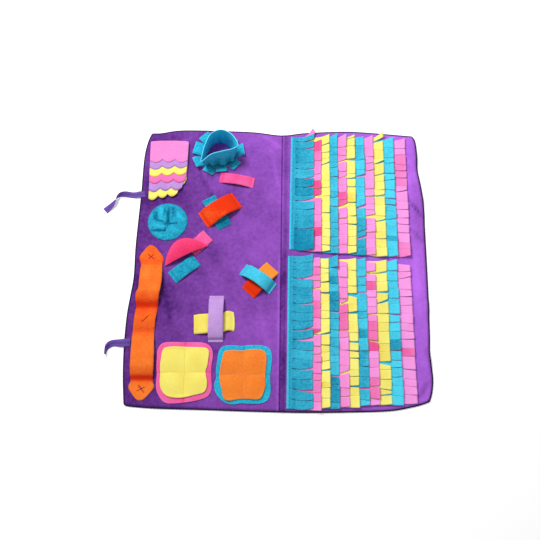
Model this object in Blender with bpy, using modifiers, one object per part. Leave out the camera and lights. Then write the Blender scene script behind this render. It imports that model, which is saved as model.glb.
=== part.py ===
"""A snuffle mat: a flat square of purple cloth with felt fringes, flaps, pockets, loops and pads sewn on it.

Metres, +Z up. The mat lies on the plane z = 0, its middle at the origin, with the fringe on the +X half.
Every sheet is an open surface that Solidify thickens upwards, so a surface's height is its underside.
"""

import math
import random

import bmesh
import bpy
from mathutils import Vector

# Driving dimensions
MAT_THICKNESS = 0.003
FELT = 0.0016
THIN_FELT = 0.0014
GAP = 0.0004
MAT_TOP = MAT_THICKNESS + GAP

# The mat's outline, front left corner first, each edge in the direction of +X or +Y
FRONT_EDGE = [
    (-0.508, -0.496), (-0.416, -0.506), (-0.250, -0.511), (0.069, -0.520), (0.347, -0.515), (0.482, -0.487),
]
BACK_EDGE = [
    (-0.478, 0.500), (-0.384, 0.509), (-0.184, 0.507), (0.013, 0.489), (0.248, 0.505), (0.507, 0.484),
]
LEFT_EDGE = [
    (-0.508, -0.496), (-0.518, -0.302), (-0.515, -0.171), (-0.502, -0.060), (-0.497, 0.251), (-0.478, 0.500),
]
RIGHT_EDGE = [
    (0.482, -0.487), (0.497, -0.408), (0.498, -0.268), (0.509, -0.020), (0.516, 0.188), (0.505, 0.352),
    (0.507, 0.484),
]

# Columns across the mat where its surface bends, with the fold seam at 0.5
MAT_COLUMNS = [0.0, 0.12, 0.25, 0.38, 0.5, 0.509, 0.518, 0.62, 0.74, 0.86, 0.94, 0.96, 0.98, 1.0]
MAT_ROWS = 23
SEAM_X = 0.0045
SEAM_LEAN = 0.0165
SEAM_RIDGE_OFFSET = 0.009
SEAM_RIDGE_HALF_WIDTH = 0.009
SEAM_RIDGE_HEIGHT = 0.0015
MARGIN_START = 0.474
MARGIN_RAMP = 0.022

# Soft waves in the right margin: y where the wave meets the right edge, slope dy/dx, half width, height
MARGIN_WAVES = [
    (0.385, -0.9, 0.050, 0.0060),
    (0.230, -0.5, 0.040, 0.0030),
    (-0.170, 0.8, 0.040, 0.0040),
    (-0.345, 0.7, 0.045, 0.0055),
]

EDGING_WIDTH = 0.0050
EDGING_THICKNESS = 0.0042

# Fringe panels: name, y of the back ends of the first and last strip, y of their front ends,
# x of the first strip at its back and front end
FRINGE_PANELS = [
    ("back", 0.484, 0.470, 0.036, 0.010, 0.045, 0.033),
    ("front", 0.013, -0.010, -0.511, -0.492, 0.029, 0.019),
]
FRINGE_COLOURS = ["teal", "pink", "yellow"]
# How far each strip's left edge stands from the first strip's
FRINGE_OFFSETS = [0.0, 0.027, 0.057, 0.087, 0.119, 0.151, 0.184, 0.218, 0.256, 0.294, 0.339]
FRINGE_TABS = 13
FRINGE_ROOT = 0.010
FRINGE_LENGTH = 0.086
FRINGE_BEND = 0.060
FRINGE_RISE = 0.080
FRINGE_SLIT = 0.003
# How far a tab's bend and tip stand off its root along the strip, and by how much tabs differ in sway,
# in curl at the tip and in length
FRINGE_DIP = 0.001
FRINGE_SWING = 0.004
FRINGE_SWAY = 0.0006
FRINGE_CURL = 0.0035
FRINGE_UNEVEN = 0.0025

# Scalloped flaps, lowest first: colour, length from the sewn top edge to the scallops' lowest points
SCALLOPS = [
    ("yellow", 0.233),
    ("lilac", 0.204),
    ("pink", 0.173),
    ("yellow", 0.146),
    ("lilac", 0.119),
    ("pink", 0.090),
]
SCALLOP_LEFT = -0.476
SCALLOP_WIDTH = 0.140
SCALLOP_BACK = 0.461
SCALLOP_SPACING = 0.0021
SCALLOP_DEPTH = 0.017
SCALLOP_LIFT = 0.009
SCALLOP_NARROWING = 0.004
SCALLOPS_ACROSS = 3

# Standing ring, anticlockwise from its drawn-out corner: foot x and y, rim x, y and height over the mat
RING = [
    (-0.270, 0.371, -0.280, 0.350, 0.062),
    (-0.245, 0.368, -0.246, 0.372, 0.074),
    (-0.207, 0.369, -0.206, 0.383, 0.078),
    (-0.174, 0.384, -0.165, 0.394, 0.078),
    (-0.165, 0.410, -0.149, 0.412, 0.078),
    (-0.183, 0.441, -0.174, 0.453, 0.078),
    (-0.211, 0.459, -0.212, 0.470, 0.078),
    (-0.241, 0.456, -0.247, 0.453, 0.078),
    (-0.263, 0.425, -0.266, 0.412, 0.078),
    (-0.270, 0.396, -0.275, 0.378, 0.074),
]
RING_CENTRE = (-0.216, 0.414)
RING_SEGMENTS = 30
RING_LEVELS = (0.0, 0.35, 0.7, 1.0)
RING_FRINGE_BACKING = 0.010
# Share of a tab's length and its height over the mat there, and at its tip
RING_TAB_BENDS = [(0.5, 0.0035), (1.0, 0.0015)]
# Tabs at the ring's foot: direction in degrees, length, width
RING_TABS = [
    (14, 0.028, 0.036),
    (56, 0.028, 0.036),
    (97, 0.024, 0.034),
    (133, 0.040, 0.038),
    (165, 0.038, 0.036),
    (204, 0.032, 0.034),
    (240, 0.024, 0.038),
    (276, 0.017, 0.036),
    (320, 0.022, 0.036),
]

POUCH_CENTRE = (-0.399, 0.142)
POUCH_RADIUS = 0.0705
POUCH_HEIGHT = 0.0105
POUCH_WRINKLES = 8
POUCH_WRINKLE_HEIGHT = 0.0012

# Orange strap, back to front: y, middle x, half width, height of the underside over the mat
STRAP_WAIST = 0.0385
STRAP_SECTIONS = [
    (0.053, -0.453, 0.0020, 0.000),
    (0.004, -0.448, 0.0435, 0.000),
    (-0.008, -0.447, 0.0395, 0.000),
    (-0.018, -0.446, 0.0370, 0.000),
    (-0.040, -0.445, 0.0380, 0.009),
    (-0.080, -0.444, STRAP_WAIST, 0.017),
    (-0.116, -0.443, STRAP_WAIST, 0.021),
    (-0.124, -0.449, 0.0420, 0.021),
    (-0.150, -0.448, 0.0410, 0.015),
    (-0.170, -0.449, 0.0310, 0.000),
    (-0.178, -0.454, 0.0370, 0.000),
    (-0.210, -0.456, 0.0370, 0.008),
    (-0.240, -0.458, 0.0360, 0.005),
    (-0.256, -0.459, 0.0360, 0.000),
    (-0.280, -0.458, 0.0370, 0.009),
    (-0.330, -0.455, STRAP_WAIST, 0.019),
    (-0.375, -0.454, STRAP_WAIST, 0.020),
    (-0.402, -0.455, 0.0375, 0.012),
    (-0.414, -0.456, 0.0365, 0.000),
    (-0.422, -0.454, 0.0350, 0.000),
    (-0.441, -0.455, 0.0425, 0.000),
    (-0.484, -0.457, 0.0020, 0.000),
]

# Pads: name, colour, middle x and y, half width, half depth, resting height
PADS = [
    ("pad_left_under", "pink", -0.316, -0.3945, 0.0935, 0.1000, 0.0),
    ("pad_left_upper", "yellow", -0.3165, -0.3920, 0.0780, 0.0840, 0.0030),
    ("pad_right_under", "teal", -0.1215, -0.4000, 0.0940, 0.0975, 0.0),
    ("pad_right_upper", "orange", -0.1225, -0.4015, 0.0770, 0.0825, 0.0030),
]
PAD_ROUNDNESS = 4.2
PAD_PUFF = 0.0045
# Middle of each pair of pads, and how far from it their four quarters swell most
PAD_MIDDLES = {"left": (-0.316, -0.393), "right": (-0.122, -0.401)}
PAD_SWELL = 0.060

# Strips sewn down at both ends: name, colour, middle of the first and of the last end, width,
# height of the arch, and how flat-topped it is (1 a half sine, towards 0 a box)
BANDS = [
    ("band_yellow", "yellow", (-0.291, -0.232), (-0.156, -0.226), 0.066, 0.009, 0.5),
    ("band_lilac", "lilac", (-0.216, -0.293), (-0.216, -0.132), 0.050, 0.024, 0.5),
    ("band_right_orange", "orange", (-0.110, -0.122), (-0.024, -0.030), 0.058, 0.014, 0.6),
    ("band_right_teal", "teal", (-0.024, -0.108), (-0.128, -0.036), 0.045, 0.032, 0.5),
    ("band_back_teal", "teal", (-0.256, 0.235), (-0.194, 0.122), 0.052, 0.005, 0.6),
    ("band_back_orange", "orange", (-0.273, 0.146), (-0.152, 0.227), 0.068, 0.020, 0.6),
    ("band_left_teal", "teal", (-0.373, -0.068), (-0.290, -0.003), 0.049, 0.006, 0.6),
    ("band_light_pink", "pink", (-0.314, 0.033), (-0.253, 0.090), 0.052, 0.0, 1.0),
    ("band_ring_pink", "pink", (-0.217, 0.317), (-0.092, 0.294), 0.040, 0.010, 0.6),
]
BAND_FOOT = 0.010
BAND_STEPS = 12

# Half-moon pocket: the two ends of its straight mouth, depth of the moon, height of the mouth
MOON_LEFT = (-0.400, -0.026)
MOON_RIGHT = (-0.250, 0.050)
MOON_DEPTH = 0.069
MOON_HEIGHT = 0.017
MOON_CLEAR = 0.008
MOON_OVER_BAND = 0.022

# Ties, from the sewn end outwards: x, y, height of the middle, width, turn about the tie's run in degrees
TIE_BACK = [
    (-0.486, 0.251, MAT_TOP + 0.0006, 0.024, 0),
    (-0.495, 0.249, MAT_TOP + 0.0014, 0.024, 0),
    (-0.506, 0.249, MAT_TOP + 0.0016, 0.024, 0),
    (-0.518, 0.247, 0.0038, 0.023, 0),
    (-0.536, 0.248, 0.0014, 0.022, 4),
    (-0.556, 0.250, 0.0050, 0.021, 18),
    (-0.572, 0.246, 0.0096, 0.019, 55),
    (-0.584, 0.236, 0.0106, 0.018, 90),
    (-0.592, 0.223, 0.0098, 0.019, 128),
    (-0.602, 0.208, 0.0060, 0.021, 158),
    (-0.614, 0.196, 0.0024, 0.023, 174),
    (-0.626, 0.185, 0.0014, 0.024, 180),
]
TIE_FRONT = [
    (-0.501, -0.294, MAT_TOP + 0.0006, 0.028, 0),
    (-0.513, -0.294, MAT_TOP + 0.0014, 0.028, 0),
    (-0.526, -0.295, MAT_TOP + 0.0016, 0.027, 0),
    (-0.540, -0.295, 0.0030, 0.025, 0),
    (-0.555, -0.295, 0.0016, 0.023, 5),
    (-0.567, -0.299, 0.0050, 0.022, 22),
    (-0.575, -0.308, 0.0086, 0.021, 50),
    (-0.579, -0.319, 0.0104, 0.020, 78),
    (-0.581, -0.334, 0.0106, 0.019, 90),
]
TIE_THICKNESS = 0.0012

SEED = 11
FELT_ROUGHNESS = 0.92
COLOURS = {
    "purple": (0.150, 0.024, 0.330, 1.0),
    "dark purple": (0.020, 0.006, 0.045, 1.0),
    "ribbon purple": (0.140, 0.070, 0.350, 1.0),
    "teal": (0.006, 0.420, 0.600, 1.0),
    "pink": (1.000, 0.220, 0.600, 1.0),
    "hot pink": (0.920, 0.050, 0.250, 1.0),
    "yellow": (1.000, 0.870, 0.170, 1.0),
    "orange": (1.000, 0.170, 0.020, 1.0),
    "lilac": (0.540, 0.300, 0.780, 1.0),
}


def clear_scene():
    for old in list(bpy.data.objects):
        bpy.data.objects.remove(old)


def felt_finish(name, colour):
    material = bpy.data.materials.new(name + "_felt")
    material.use_nodes = True
    shader = material.node_tree.nodes["Principled BSDF"]
    shader.inputs["Base Color"].default_value = COLOURS[colour]
    shader.inputs["Roughness"].default_value = FELT_ROUGHNESS
    shader.inputs["Metallic"].default_value = 0.0
    return material


def sheet(name, colour, surface, thickness=FELT, offset=1.0):
    """Makes the object of one cut piece: the bmesh `surface`, thickened by Solidify."""
    mesh = bpy.data.meshes.new(name)
    surface.to_mesh(mesh)
    surface.free()
    mesh.shade_smooth()
    mesh.set_sharp_from_angle(angle=math.radians(40))
    mesh.materials.append(felt_finish(name, colour))
    piece = bpy.data.objects.new(name, mesh)
    solidify = piece.modifiers.new("thickness", "SOLIDIFY")
    solidify.thickness = thickness
    solidify.offset = offset
    solidify.use_even_offset = True
    parts.objects.link(piece)
    return piece


def grid_surface(across, along, place, closed=False):
    """An open surface of points place(u, v); `closed` joins its last column to the first."""
    surface = bmesh.new()
    columns = [[surface.verts.new(place(u, v)) for v in along] for u in across]
    neighbours = list(zip(columns, columns[1:]))
    if closed:
        neighbours.append((columns[-1], columns[0]))
    for column, following in neighbours:
        for low in range(len(along) - 1):
            surface.faces.new((column[low], following[low], following[low + 1], column[low + 1]))
    return surface


def round_surface(angles, rings, place):
    """A disc-like surface of points place(angle, radius), its middle closed by a fan; rings run outwards."""
    surface = grid_surface(angles, rings, place, closed=True)
    middle = surface.verts.new(place(0.0, 0.0))
    surface.verts.ensure_lookup_table()
    hub = [surface.verts[index * len(rings)] for index in range(len(angles))]
    for first, second in zip(hub, hub[1:] + hub[:1]):
        surface.faces.new((first, second, middle))
    bmesh.ops.recalc_face_normals(surface, faces=surface.faces)
    face_up(surface)
    return surface


def face_up(surface):
    surface.normal_update()
    if sum(face.normal.z * face.calc_area() for face in surface.faces) < 0:
        bmesh.ops.reverse_faces(surface, faces=surface.faces)


def steps(count):
    return [index / count for index in range(count + 1)]


def round_angles(count):
    return [2 * math.pi * share for share in steps(count)[:-1]]


def smoothstep(low, high, value):
    share = min(max((value - low) / (high - low), 0.0), 1.0)
    return share * share * (3 - 2 * share)


def bump(distance, half_width):
    """1 on a ridge's line, falling smoothly to 0 at half_width."""
    return 0.5 + 0.5 * math.cos(math.pi * min(abs(distance) / half_width, 1.0))


def between(before, start, end, after, t):
    """The point at share t from start to end on a smooth curve that also passes the points either side."""
    before, start, end, after = Vector(before), Vector(start), Vector(end), Vector(after)
    return 0.5 * (2 * start + (end - before) * t + (2 * before - 5 * start + 4 * end - after) * t ** 2
                  + (3 * start - before - 3 * end + after) * t ** 3)


def through(points, share):
    """The point at this share of a smooth curve through the points, which are taken as evenly spread."""
    place = min(max(share, 0.0), 1.0) * (len(points) - 1)
    index = min(int(place), len(points) - 2)
    before, after = points[max(index - 1, 0)], points[min(index + 2, len(points) - 1)]
    return between(before, points[index], points[index + 1], after, place - index)


def evenly_along(points):
    """A function from 0..1 to a point of the curve through the points, even by length."""
    samples = [through(points, share) for share in steps(120)]
    lengths = [0.0]
    for first, second in zip(samples, samples[1:]):
        lengths.append(lengths[-1] + (second - first).length)

    def place(share):
        wanted = share * lengths[-1]
        index = next((i for i in range(1, len(lengths)) if lengths[i] >= wanted), len(lengths) - 1)
        part = (wanted - lengths[index - 1]) / (lengths[index] - lengths[index - 1])
        return samples[index - 1].lerp(samples[index], part)

    return place


def from_seam(x, y):
    """Distance to the right of the mat's fold seam."""
    return x - SEAM_X - SEAM_LEAN * y


def mat_underside(x, y):
    """Height of the mat's underside: 0, but for a ridge by the fold seam and waves in the right margin."""
    height = SEAM_RIDGE_HEIGHT * bump(from_seam(x, y) - SEAM_RIDGE_OFFSET, SEAM_RIDGE_HALF_WIDTH)
    margin = smoothstep(MARGIN_START, MARGIN_START + MARGIN_RAMP, x)
    for edge_y, slope, half_width, wave in MARGIN_WAVES:
        along_edge = y - edge_y - slope * (x - RIGHT_EDGE[0][0])
        height += margin * wave * bump(along_edge, half_width)
    return height


def make_mat():
    front, back, left, right = (evenly_along(edge) for edge in (FRONT_EDGE, BACK_EDGE, LEFT_EDGE, RIGHT_EDGE))
    corners = [Vector(FRONT_EDGE[0]), Vector(FRONT_EDGE[-1]), Vector(BACK_EDGE[0]), Vector(BACK_EDGE[-1])]

    def plan(u, v):
        across = front(u) * (1 - v) + back(u) * v
        along = left(v) * (1 - u) + right(v) * u
        front_line, back_line = corners[0].lerp(corners[1], u), corners[2].lerp(corners[3], u)
        blend = front_line.lerp(back_line, v)
        return across + along - blend

    def seam_share(v):
        """The share of the width at which this row crosses the fold seam."""
        share = 0.5
        for _ in range(5):
            share -= from_seam(*plan(share, v))
        return share

    def place(u, v):
        spot = plan(u + (seam_share(v) - 0.5) * (1 - abs(2 * u - 1)), v)
        return (spot.x, spot.y, mat_underside(spot.x, spot.y))

    rows = steps(MAT_ROWS)
    sheet("mat_cloth", "purple", grid_surface(MAT_COLUMNS, rows, place), MAT_THICKNESS)

    rim = [place(u, 0.0) for u in MAT_COLUMNS[:-1]] + [place(1.0, v) for v in rows[:-1]]
    rim += [place(u, 1.0) for u in reversed(MAT_COLUMNS[1:])] + [place(0.0, v) for v in reversed(rows[1:])]
    make_edging([Vector(spot) for spot in rim])


def make_edging(rim):
    """The overlocked edge: a narrow strip round the mat, outside its rim."""
    def outward(index):
        before = (rim[index] - rim[index - 1]).xy
        after = (rim[(index + 1) % len(rim)] - rim[index]).xy
        mitre = before.normalized() + after.normalized()
        normal = Vector((mitre.y, -mitre.x)).normalized()
        side = Vector((after.y, -after.x)).normalized()
        return normal / normal.dot(side)

    def place(index, share):
        spot = rim[index].xy + outward(index) * (GAP + share * EDGING_WIDTH)
        return (spot.x, spot.y, rim[index].z)

    surface = grid_surface(range(len(rim)), (0.0, 1.0), place, closed=True)
    face_up(surface)
    sheet("mat_edging", "dark purple", surface, EDGING_THICKNESS)


def fringe_strip(length, rise, chance):
    """A strip along -Y from 0 to -length, its left edge at x = 0, cut into tabs that point to +X and rise."""
    surface = bmesh.new()
    pitch = length / FRINGE_TABS
    roots = []
    for tab in range(FRINGE_TABS):
        start = -tab * pitch - (FRINGE_SLIT / 2 if tab else 0.0)
        end = -(tab + 1) * pitch + (FRINGE_SLIT / 2 if tab < FRINGE_TABS - 1 else 0.0)
        sway = chance.uniform(-FRINGE_SWAY, FRINGE_SWAY)
        curl = chance.uniform(0.0, FRINGE_CURL)
        reach = FRINGE_LENGTH + chance.uniform(-FRINGE_UNEVEN, FRINGE_UNEVEN)
        # x, shift in y and height of each cross-section of the tab
        sections = [
            (FRINGE_ROOT, 0.0, rise * FRINGE_ROOT),
            (FRINGE_BEND, sway - FRINGE_DIP, rise * FRINGE_BEND),
            (reach, 2 * sway + FRINGE_SWING, rise * FRINGE_LENGTH + curl),
        ]
        rungs = [[surface.verts.new((x, edge + shift, height)) for edge in (start, end)]
                 for x, shift, height in sections]
        for near, far in zip(rungs, rungs[1:]):
            surface.faces.new((near[0], near[1], far[1], far[0]))
        roots += rungs[0]
    left = [surface.verts.new((0.0, y, 0.0)) for y in (-length, 0.0)]
    surface.faces.new([left[1], left[0]] + roots[::-1])
    return surface


def make_fringe():
    last = len(FRINGE_OFFSETS) - 1
    for number, row in enumerate(FRINGE_PANELS):
        panel, back_first, back_last, front_first, front_last, x_back, x_front = row
        lean = math.atan2(x_back - x_front, back_first - front_first)
        for index, offset in enumerate(FRINGE_OFFSETS):
            share = index / last
            back = back_first + (back_last - back_first) * share
            front = front_first + (front_last - front_first) * share
            chance = random.Random(SEED + 100 * number + index)
            colour = FRINGE_COLOURS[index % len(FRINGE_COLOURS)]
            rise = FRINGE_RISE if index < last else FRINGE_RISE / 2
            surface = fringe_strip((back - front) / math.cos(lean), rise, chance)
            face_up(surface)
            strip = sheet(f"fringe_{panel}_{index + 1:02d}_{colour}", colour, surface)
            strip.location = (x_back + offset + (back - back_first) * math.tan(lean), back, MAT_TOP)
            strip.rotation_euler.z = -lean


def make_scallops():
    def scallop(u):
        """Share of the scallop's depth by which the edge stands back from its lowest line."""
        return 1.0 - abs(math.sin(math.pi * u * SCALLOPS_ACROSS)) ** 0.6

    longest = SCALLOPS[0][1]
    columns = steps(5 * SCALLOPS_ACROSS)
    for layer, (colour, length) in enumerate(SCALLOPS):
        def place(u, v):
            down = v * (length - SCALLOP_DEPTH * scallop(u) * smoothstep(0.4, 1.0, v))
            lift = SCALLOP_LIFT * (down / longest) ** 2 * (0.5 + 0.5 * u)
            narrower = SCALLOP_NARROWING * down / longest * (1 if u < 0.5 else -1)
            x = SCALLOP_LEFT + u * SCALLOP_WIDTH + narrower
            return (x, SCALLOP_BACK - down, MAT_TOP + layer * SCALLOP_SPACING + lift)

        surface = grid_surface(columns, (0.0, 0.5, 1.0), place)
        face_up(surface)
        sheet(f"scallop_{layer + 1}_{colour}", colour, surface, THIN_FELT)


def round_through(points, share):
    """The point at this share of a smooth closed curve through the points."""
    count = len(points)
    place = (share % 1.0) * count
    index = int(place)
    return between(*(points[(index + step) % count] for step in (-1, 0, 1, 2)), place - index)


def make_ring():
    foot = [(foot_x, foot_y, 0.0) for foot_x, foot_y, _, _, _ in RING]
    rim = [(rim_x, rim_y, height) for _, _, rim_x, rim_y, height in RING]
    shares = steps(RING_SEGMENTS)[:-1]

    def place(share, level):
        spot = round_through(foot, share).lerp(round_through(rim, share), level)
        return (spot.x, spot.y, MAT_TOP + spot.z)

    sheet("ring_wall", "teal", grid_surface(shares, RING_LEVELS, place, closed=True), FELT, 0.0)
    make_ring_fringe([round_through(foot, share).xy for share in shares])


def make_ring_fringe(foot):
    """The tabs round the ring's foot, fused into a narrow strip that lies on the mat outside the wall."""
    centre = Vector(RING_CENTRE)
    clearance = FELT / 2 + 3 * GAP
    count = len(foot)
    outward = []
    for index in range(count):
        along = foot[(index + 1) % count] - foot[index - 1]
        outward.append(Vector((along.y, -along.x)).normalized())
    surface = bmesh.new()
    rims = []
    for reach in (clearance, clearance + RING_FRINGE_BACKING):
        spots = [spot + out * reach for spot, out in zip(foot, outward)]
        rims.append([surface.verts.new((spot.x, spot.y, MAT_TOP)) for spot in spots])
    inside, outside = rims
    for index in range(count):
        following = (index + 1) % count
        surface.faces.new((inside[index], outside[index], outside[following], inside[following]))
    for direction, length, width in RING_TABS:
        out = Vector((math.cos(math.radians(direction)), math.sin(math.radians(direction))))
        nearest = max(range(count), key=lambda i: (outside[i].co.xy - centre).normalized().dot(out))
        roots = [outside[(nearest + step) % count] for step in (-1, 0, 1)]
        add_ring_tab(surface, roots, out, length, width)
    face_up(surface)
    sheet("ring_fringe", "teal", surface)


def add_ring_tab(surface, roots, out, length, width):
    side = Vector((-out.y, out.x))
    middle = (roots[0].co.xy + roots[2].co.xy) / 2
    previous = roots
    for share, lift in RING_TAB_BENDS:
        spots = [middle + out * length * share + side * width / 2 * across for across in (-1, 0, 1)]
        rung = [surface.verts.new((spot.x, spot.y, MAT_TOP + lift)) for spot in spots]
        for first in (0, 1):
            surface.faces.new((previous[first], rung[first], rung[first + 1], previous[first + 1]))
        previous = rung


def make_pouch():
    angles = round_angles(3 * POUCH_WRINKLES)
    rings = (0.16, 0.45, 0.72, 0.9, 1.0)

    def dome(radius):
        """Share of the pocket's height at this share of its radius, a little dished in the middle."""
        return (1 - radius ** 2.6) * (0.80 + 0.20 * radius)

    def place(angle, radius):
        wrinkle = POUCH_WRINKLE_HEIGHT * math.cos(POUCH_WRINKLES * angle) * bump(radius - 0.6, 0.4)
        x = POUCH_CENTRE[0] + POUCH_RADIUS * radius * math.cos(angle)
        y = POUCH_CENTRE[1] + POUCH_RADIUS * radius * math.sin(angle)
        return (x, y, MAT_TOP + POUCH_HEIGHT * dome(radius) + wrinkle)

    sheet("round_pocket", "teal", round_surface(angles, rings, place))


def make_strap():
    def place(across, index):
        y, x, half_width, height = STRAP_SECTIONS[index]
        return (x + across * half_width, y, MAT_TOP + height)

    surface = grid_surface((-1.0, 0.0, 1.0), range(len(STRAP_SECTIONS)), place)
    face_up(surface)
    sheet("orange_strap", "orange", surface)


def pad_puff(pair, x, y):
    """Height to which the quarters of a pair of pads swell between their crossed seams."""
    right, back = x - PAD_MIDDLES[pair][0], y - PAD_MIDDLES[pair][1]
    quarter = abs(math.sin(2 * math.atan2(back, right))) ** 0.7
    return PAD_PUFF * quarter * bump(math.hypot(right, back) - PAD_SWELL, PAD_SWELL)


def make_pads():
    angles = round_angles(32)
    rings = (0.34, 0.67, 0.9, 1.0)
    for name, colour, middle_x, middle_y, half_width, half_depth, rest in PADS:
        pair = name.split("_")[1]

        def place(angle, radius):
            across, along = math.cos(angle), math.sin(angle)
            corner = (abs(across) ** PAD_ROUNDNESS + abs(along) ** PAD_ROUNDNESS) ** (1 / PAD_ROUNDNESS)
            x = middle_x + half_width * radius * across / corner
            y = middle_y + half_depth * radius * along / corner
            return (x, y, MAT_TOP + rest + pad_puff(pair, x, y))

        sheet(name, colour, round_surface(angles, rings, place))


def make_bands():
    for name, colour, first, last, width, arch, squareness in BANDS:
        start, end = Vector(first), Vector(last)
        run = (end - start).normalized()
        side = Vector((-run.y, run.x)) * width / 2
        foot = BAND_FOOT / (end - start).length

        def place(across, share):
            spot = start.lerp(end, share) + side * across
            inner = min(max((share - foot) / (1 - 2 * foot), 0.0), 1.0)
            height = arch * max(math.sin(math.pi * inner), 0.0) ** squareness
            return (spot.x, spot.y, MAT_TOP + height)

        shares = [0.0] + [foot + (1 - 2 * foot) * share for share in steps(BAND_STEPS)] + [1.0]
        surface = grid_surface((-1.0, 1.0), shares, place)
        face_up(surface)
        sheet(name, colour, surface)


def make_half_moon():
    left, right = Vector(MOON_LEFT), Vector(MOON_RIGHT)
    chord = right - left
    back = Vector((-chord.y, chord.x)).normalized()
    _, _, first, last, band_width, _, _ = next(band for band in BANDS if band[0] == "band_light_pink")
    band_start = Vector(first)
    band_run = (Vector(last) - band_start).normalized()
    band_side = Vector((-band_run.y, band_run.x))

    def place(u, v):
        share = 0.5 - 0.5 * math.cos(math.pi * u)
        depth = MOON_DEPTH * 4 * share * (1 - share)
        spot = left + chord * share + back * depth * (1 - v)
        height = MOON_HEIGHT * math.sin(math.pi * share) ** 0.8 * v ** 0.7
        past_band = abs((spot - band_start).dot(band_side)) - band_width / 2
        over_band = (FELT + 2 * GAP) * (1 - smoothstep(MOON_CLEAR, MOON_OVER_BAND, past_band))
        return (spot.x, spot.y, MAT_TOP + max(height, over_band))

    surface = grid_surface(steps(16), (0.0, 0.15, 0.4, 0.7, 1.0), place)
    bmesh.ops.remove_doubles(surface, verts=surface.verts, dist=0.0001)
    face_up(surface)
    sheet("half_round_pocket", "hot pink", surface)


def make_tie(name, table):
    rows = [Vector((x, y, z)) for x, y, z, _, _ in table]

    def place(across, index):
        before, after = rows[max(index - 1, 0)], rows[min(index + 1, len(rows) - 1)]
        run = (after - before).normalized()
        side = run.cross(Vector((0, 0, 1))).normalized()
        lift = side.cross(run)
        turn = math.radians(table[index][4])
        return rows[index] + (side * math.cos(turn) + lift * math.sin(turn)) * across * table[index][3] / 2

    surface = grid_surface((-1.0, 1.0), range(len(rows)), place)
    sheet(name, "ribbon purple", surface, TIE_THICKNESS, 0.0)


clear_scene()
parts = bpy.data.collections.new("snuffle_mat")
bpy.context.scene.collection.children.link(parts)
make_mat()
make_fringe()
make_scallops()
make_ring()
make_pouch()
make_strap()
make_pads()
make_bands()
make_half_moon()
make_tie("tie_back", TIE_BACK)
make_tie("tie_front", TIE_FRONT)
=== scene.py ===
"""Dresses the snuffle mat: brushed purple cloth with needled felt fringes, flaps, loops, pockets and pads.

Metres, +Z up, in the frame's own axes: the mat lies on z = 0 about the origin, with the fringe on +X.
Every sheet is an open surface that Solidify thickens, and felt's cut edges are painted paler, a painted
highlight.
"""
import math
import random

import bpy
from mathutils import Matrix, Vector, noise
from mathutils.bvhtree import BVHTree


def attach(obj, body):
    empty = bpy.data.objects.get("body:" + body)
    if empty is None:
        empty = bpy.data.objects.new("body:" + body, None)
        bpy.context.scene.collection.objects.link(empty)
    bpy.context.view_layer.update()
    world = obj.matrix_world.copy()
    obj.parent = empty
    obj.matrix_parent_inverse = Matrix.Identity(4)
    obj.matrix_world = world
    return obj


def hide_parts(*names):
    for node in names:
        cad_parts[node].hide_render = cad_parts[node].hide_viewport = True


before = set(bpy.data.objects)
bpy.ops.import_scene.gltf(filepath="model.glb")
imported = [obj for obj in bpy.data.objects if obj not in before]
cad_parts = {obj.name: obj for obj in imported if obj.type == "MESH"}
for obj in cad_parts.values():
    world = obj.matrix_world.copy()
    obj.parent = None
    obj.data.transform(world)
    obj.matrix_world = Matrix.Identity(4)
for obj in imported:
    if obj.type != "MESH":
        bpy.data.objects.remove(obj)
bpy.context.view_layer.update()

MM = 0.001
MAT_THICKNESS = 3.0 * MM
FELT = 1.6 * MM
THIN_FELT = 1.4 * MM
# Air between sheets that lie on each other, and the height at which felt lies on the mat
GAP = 0.4 * MM
MAT_TOP = MAT_THICKNESS + GAP
# How far inside a piece's edge its seams end
SEAM_INSET = 4 * MM
# Start of every random choice and of all the noise
SEED = 23

# The mat's outline inside its edging, front left corner first, each edge in the direction of +X or +Y
FRONT_EDGE = [
    (-0.505, -0.494), (-0.490, -0.499), (-0.416, -0.505), (-0.330, -0.508), (-0.250, -0.510),
    (-0.102, -0.515), (0.069, -0.519), (0.210, -0.518), (0.347, -0.514), (0.419, -0.503),
    (0.460, -0.493), (0.482, -0.485),
]
BACK_EDGE = [
    (-0.474, 0.497), (-0.440, 0.498), (-0.384, 0.508), (-0.316, 0.510), (-0.184, 0.506),
    (-0.090, 0.501), (0.011, 0.488), (0.101, 0.498), (0.248, 0.504), (0.349, 0.498),
    (0.442, 0.489), (0.496, 0.484),
]
LEFT_EDGE = [
    (-0.505, -0.494), (-0.514, -0.402), (-0.518, -0.302), (-0.516, -0.202), (-0.509, -0.132),
    (-0.502, -0.060), (-0.503, 0.060), (-0.497, 0.251), (-0.495, 0.393), (-0.486, 0.460),
    (-0.474, 0.497),
]
RIGHT_EDGE = [
    (0.482, -0.485), (0.492, -0.455), (0.498, -0.408), (0.494, -0.339), (0.499, -0.268),
    (0.504, -0.160), (0.509, -0.020), (0.513, 0.120), (0.516, 0.188), (0.513, 0.271),
    (0.504, 0.352), (0.507, 0.427), (0.504, 0.468), (0.496, 0.484),
]
# The fold seam: x at y = 0, lean dx/dy, and the ridge of doubled cloth to its right
SEAM_X = 4.5 * MM
SEAM_LEAN = 0.0165
SEAM_RIDGE_OFFSET = 9 * MM
SEAM_RIDGE_HALF_WIDTH = 9 * MM
SEAM_RIDGE_HEIGHT = 1.5 * MM
# The y between which it is stitched, and how far left of the fold
SEAM_STITCHED = (-0.505, 0.485)
SEAM_STITCH_LEFT = 1.5 * MM
# How unevenly the whole mat lies
MAT_WAVE = 0.25 * MM
# The right margin's waves rise from MARGIN_START over MARGIN_RAMP and are placed at MARGIN_X
MARGIN_START = 0.474
MARGIN_RAMP = 0.022
MARGIN_X = 0.507
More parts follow.
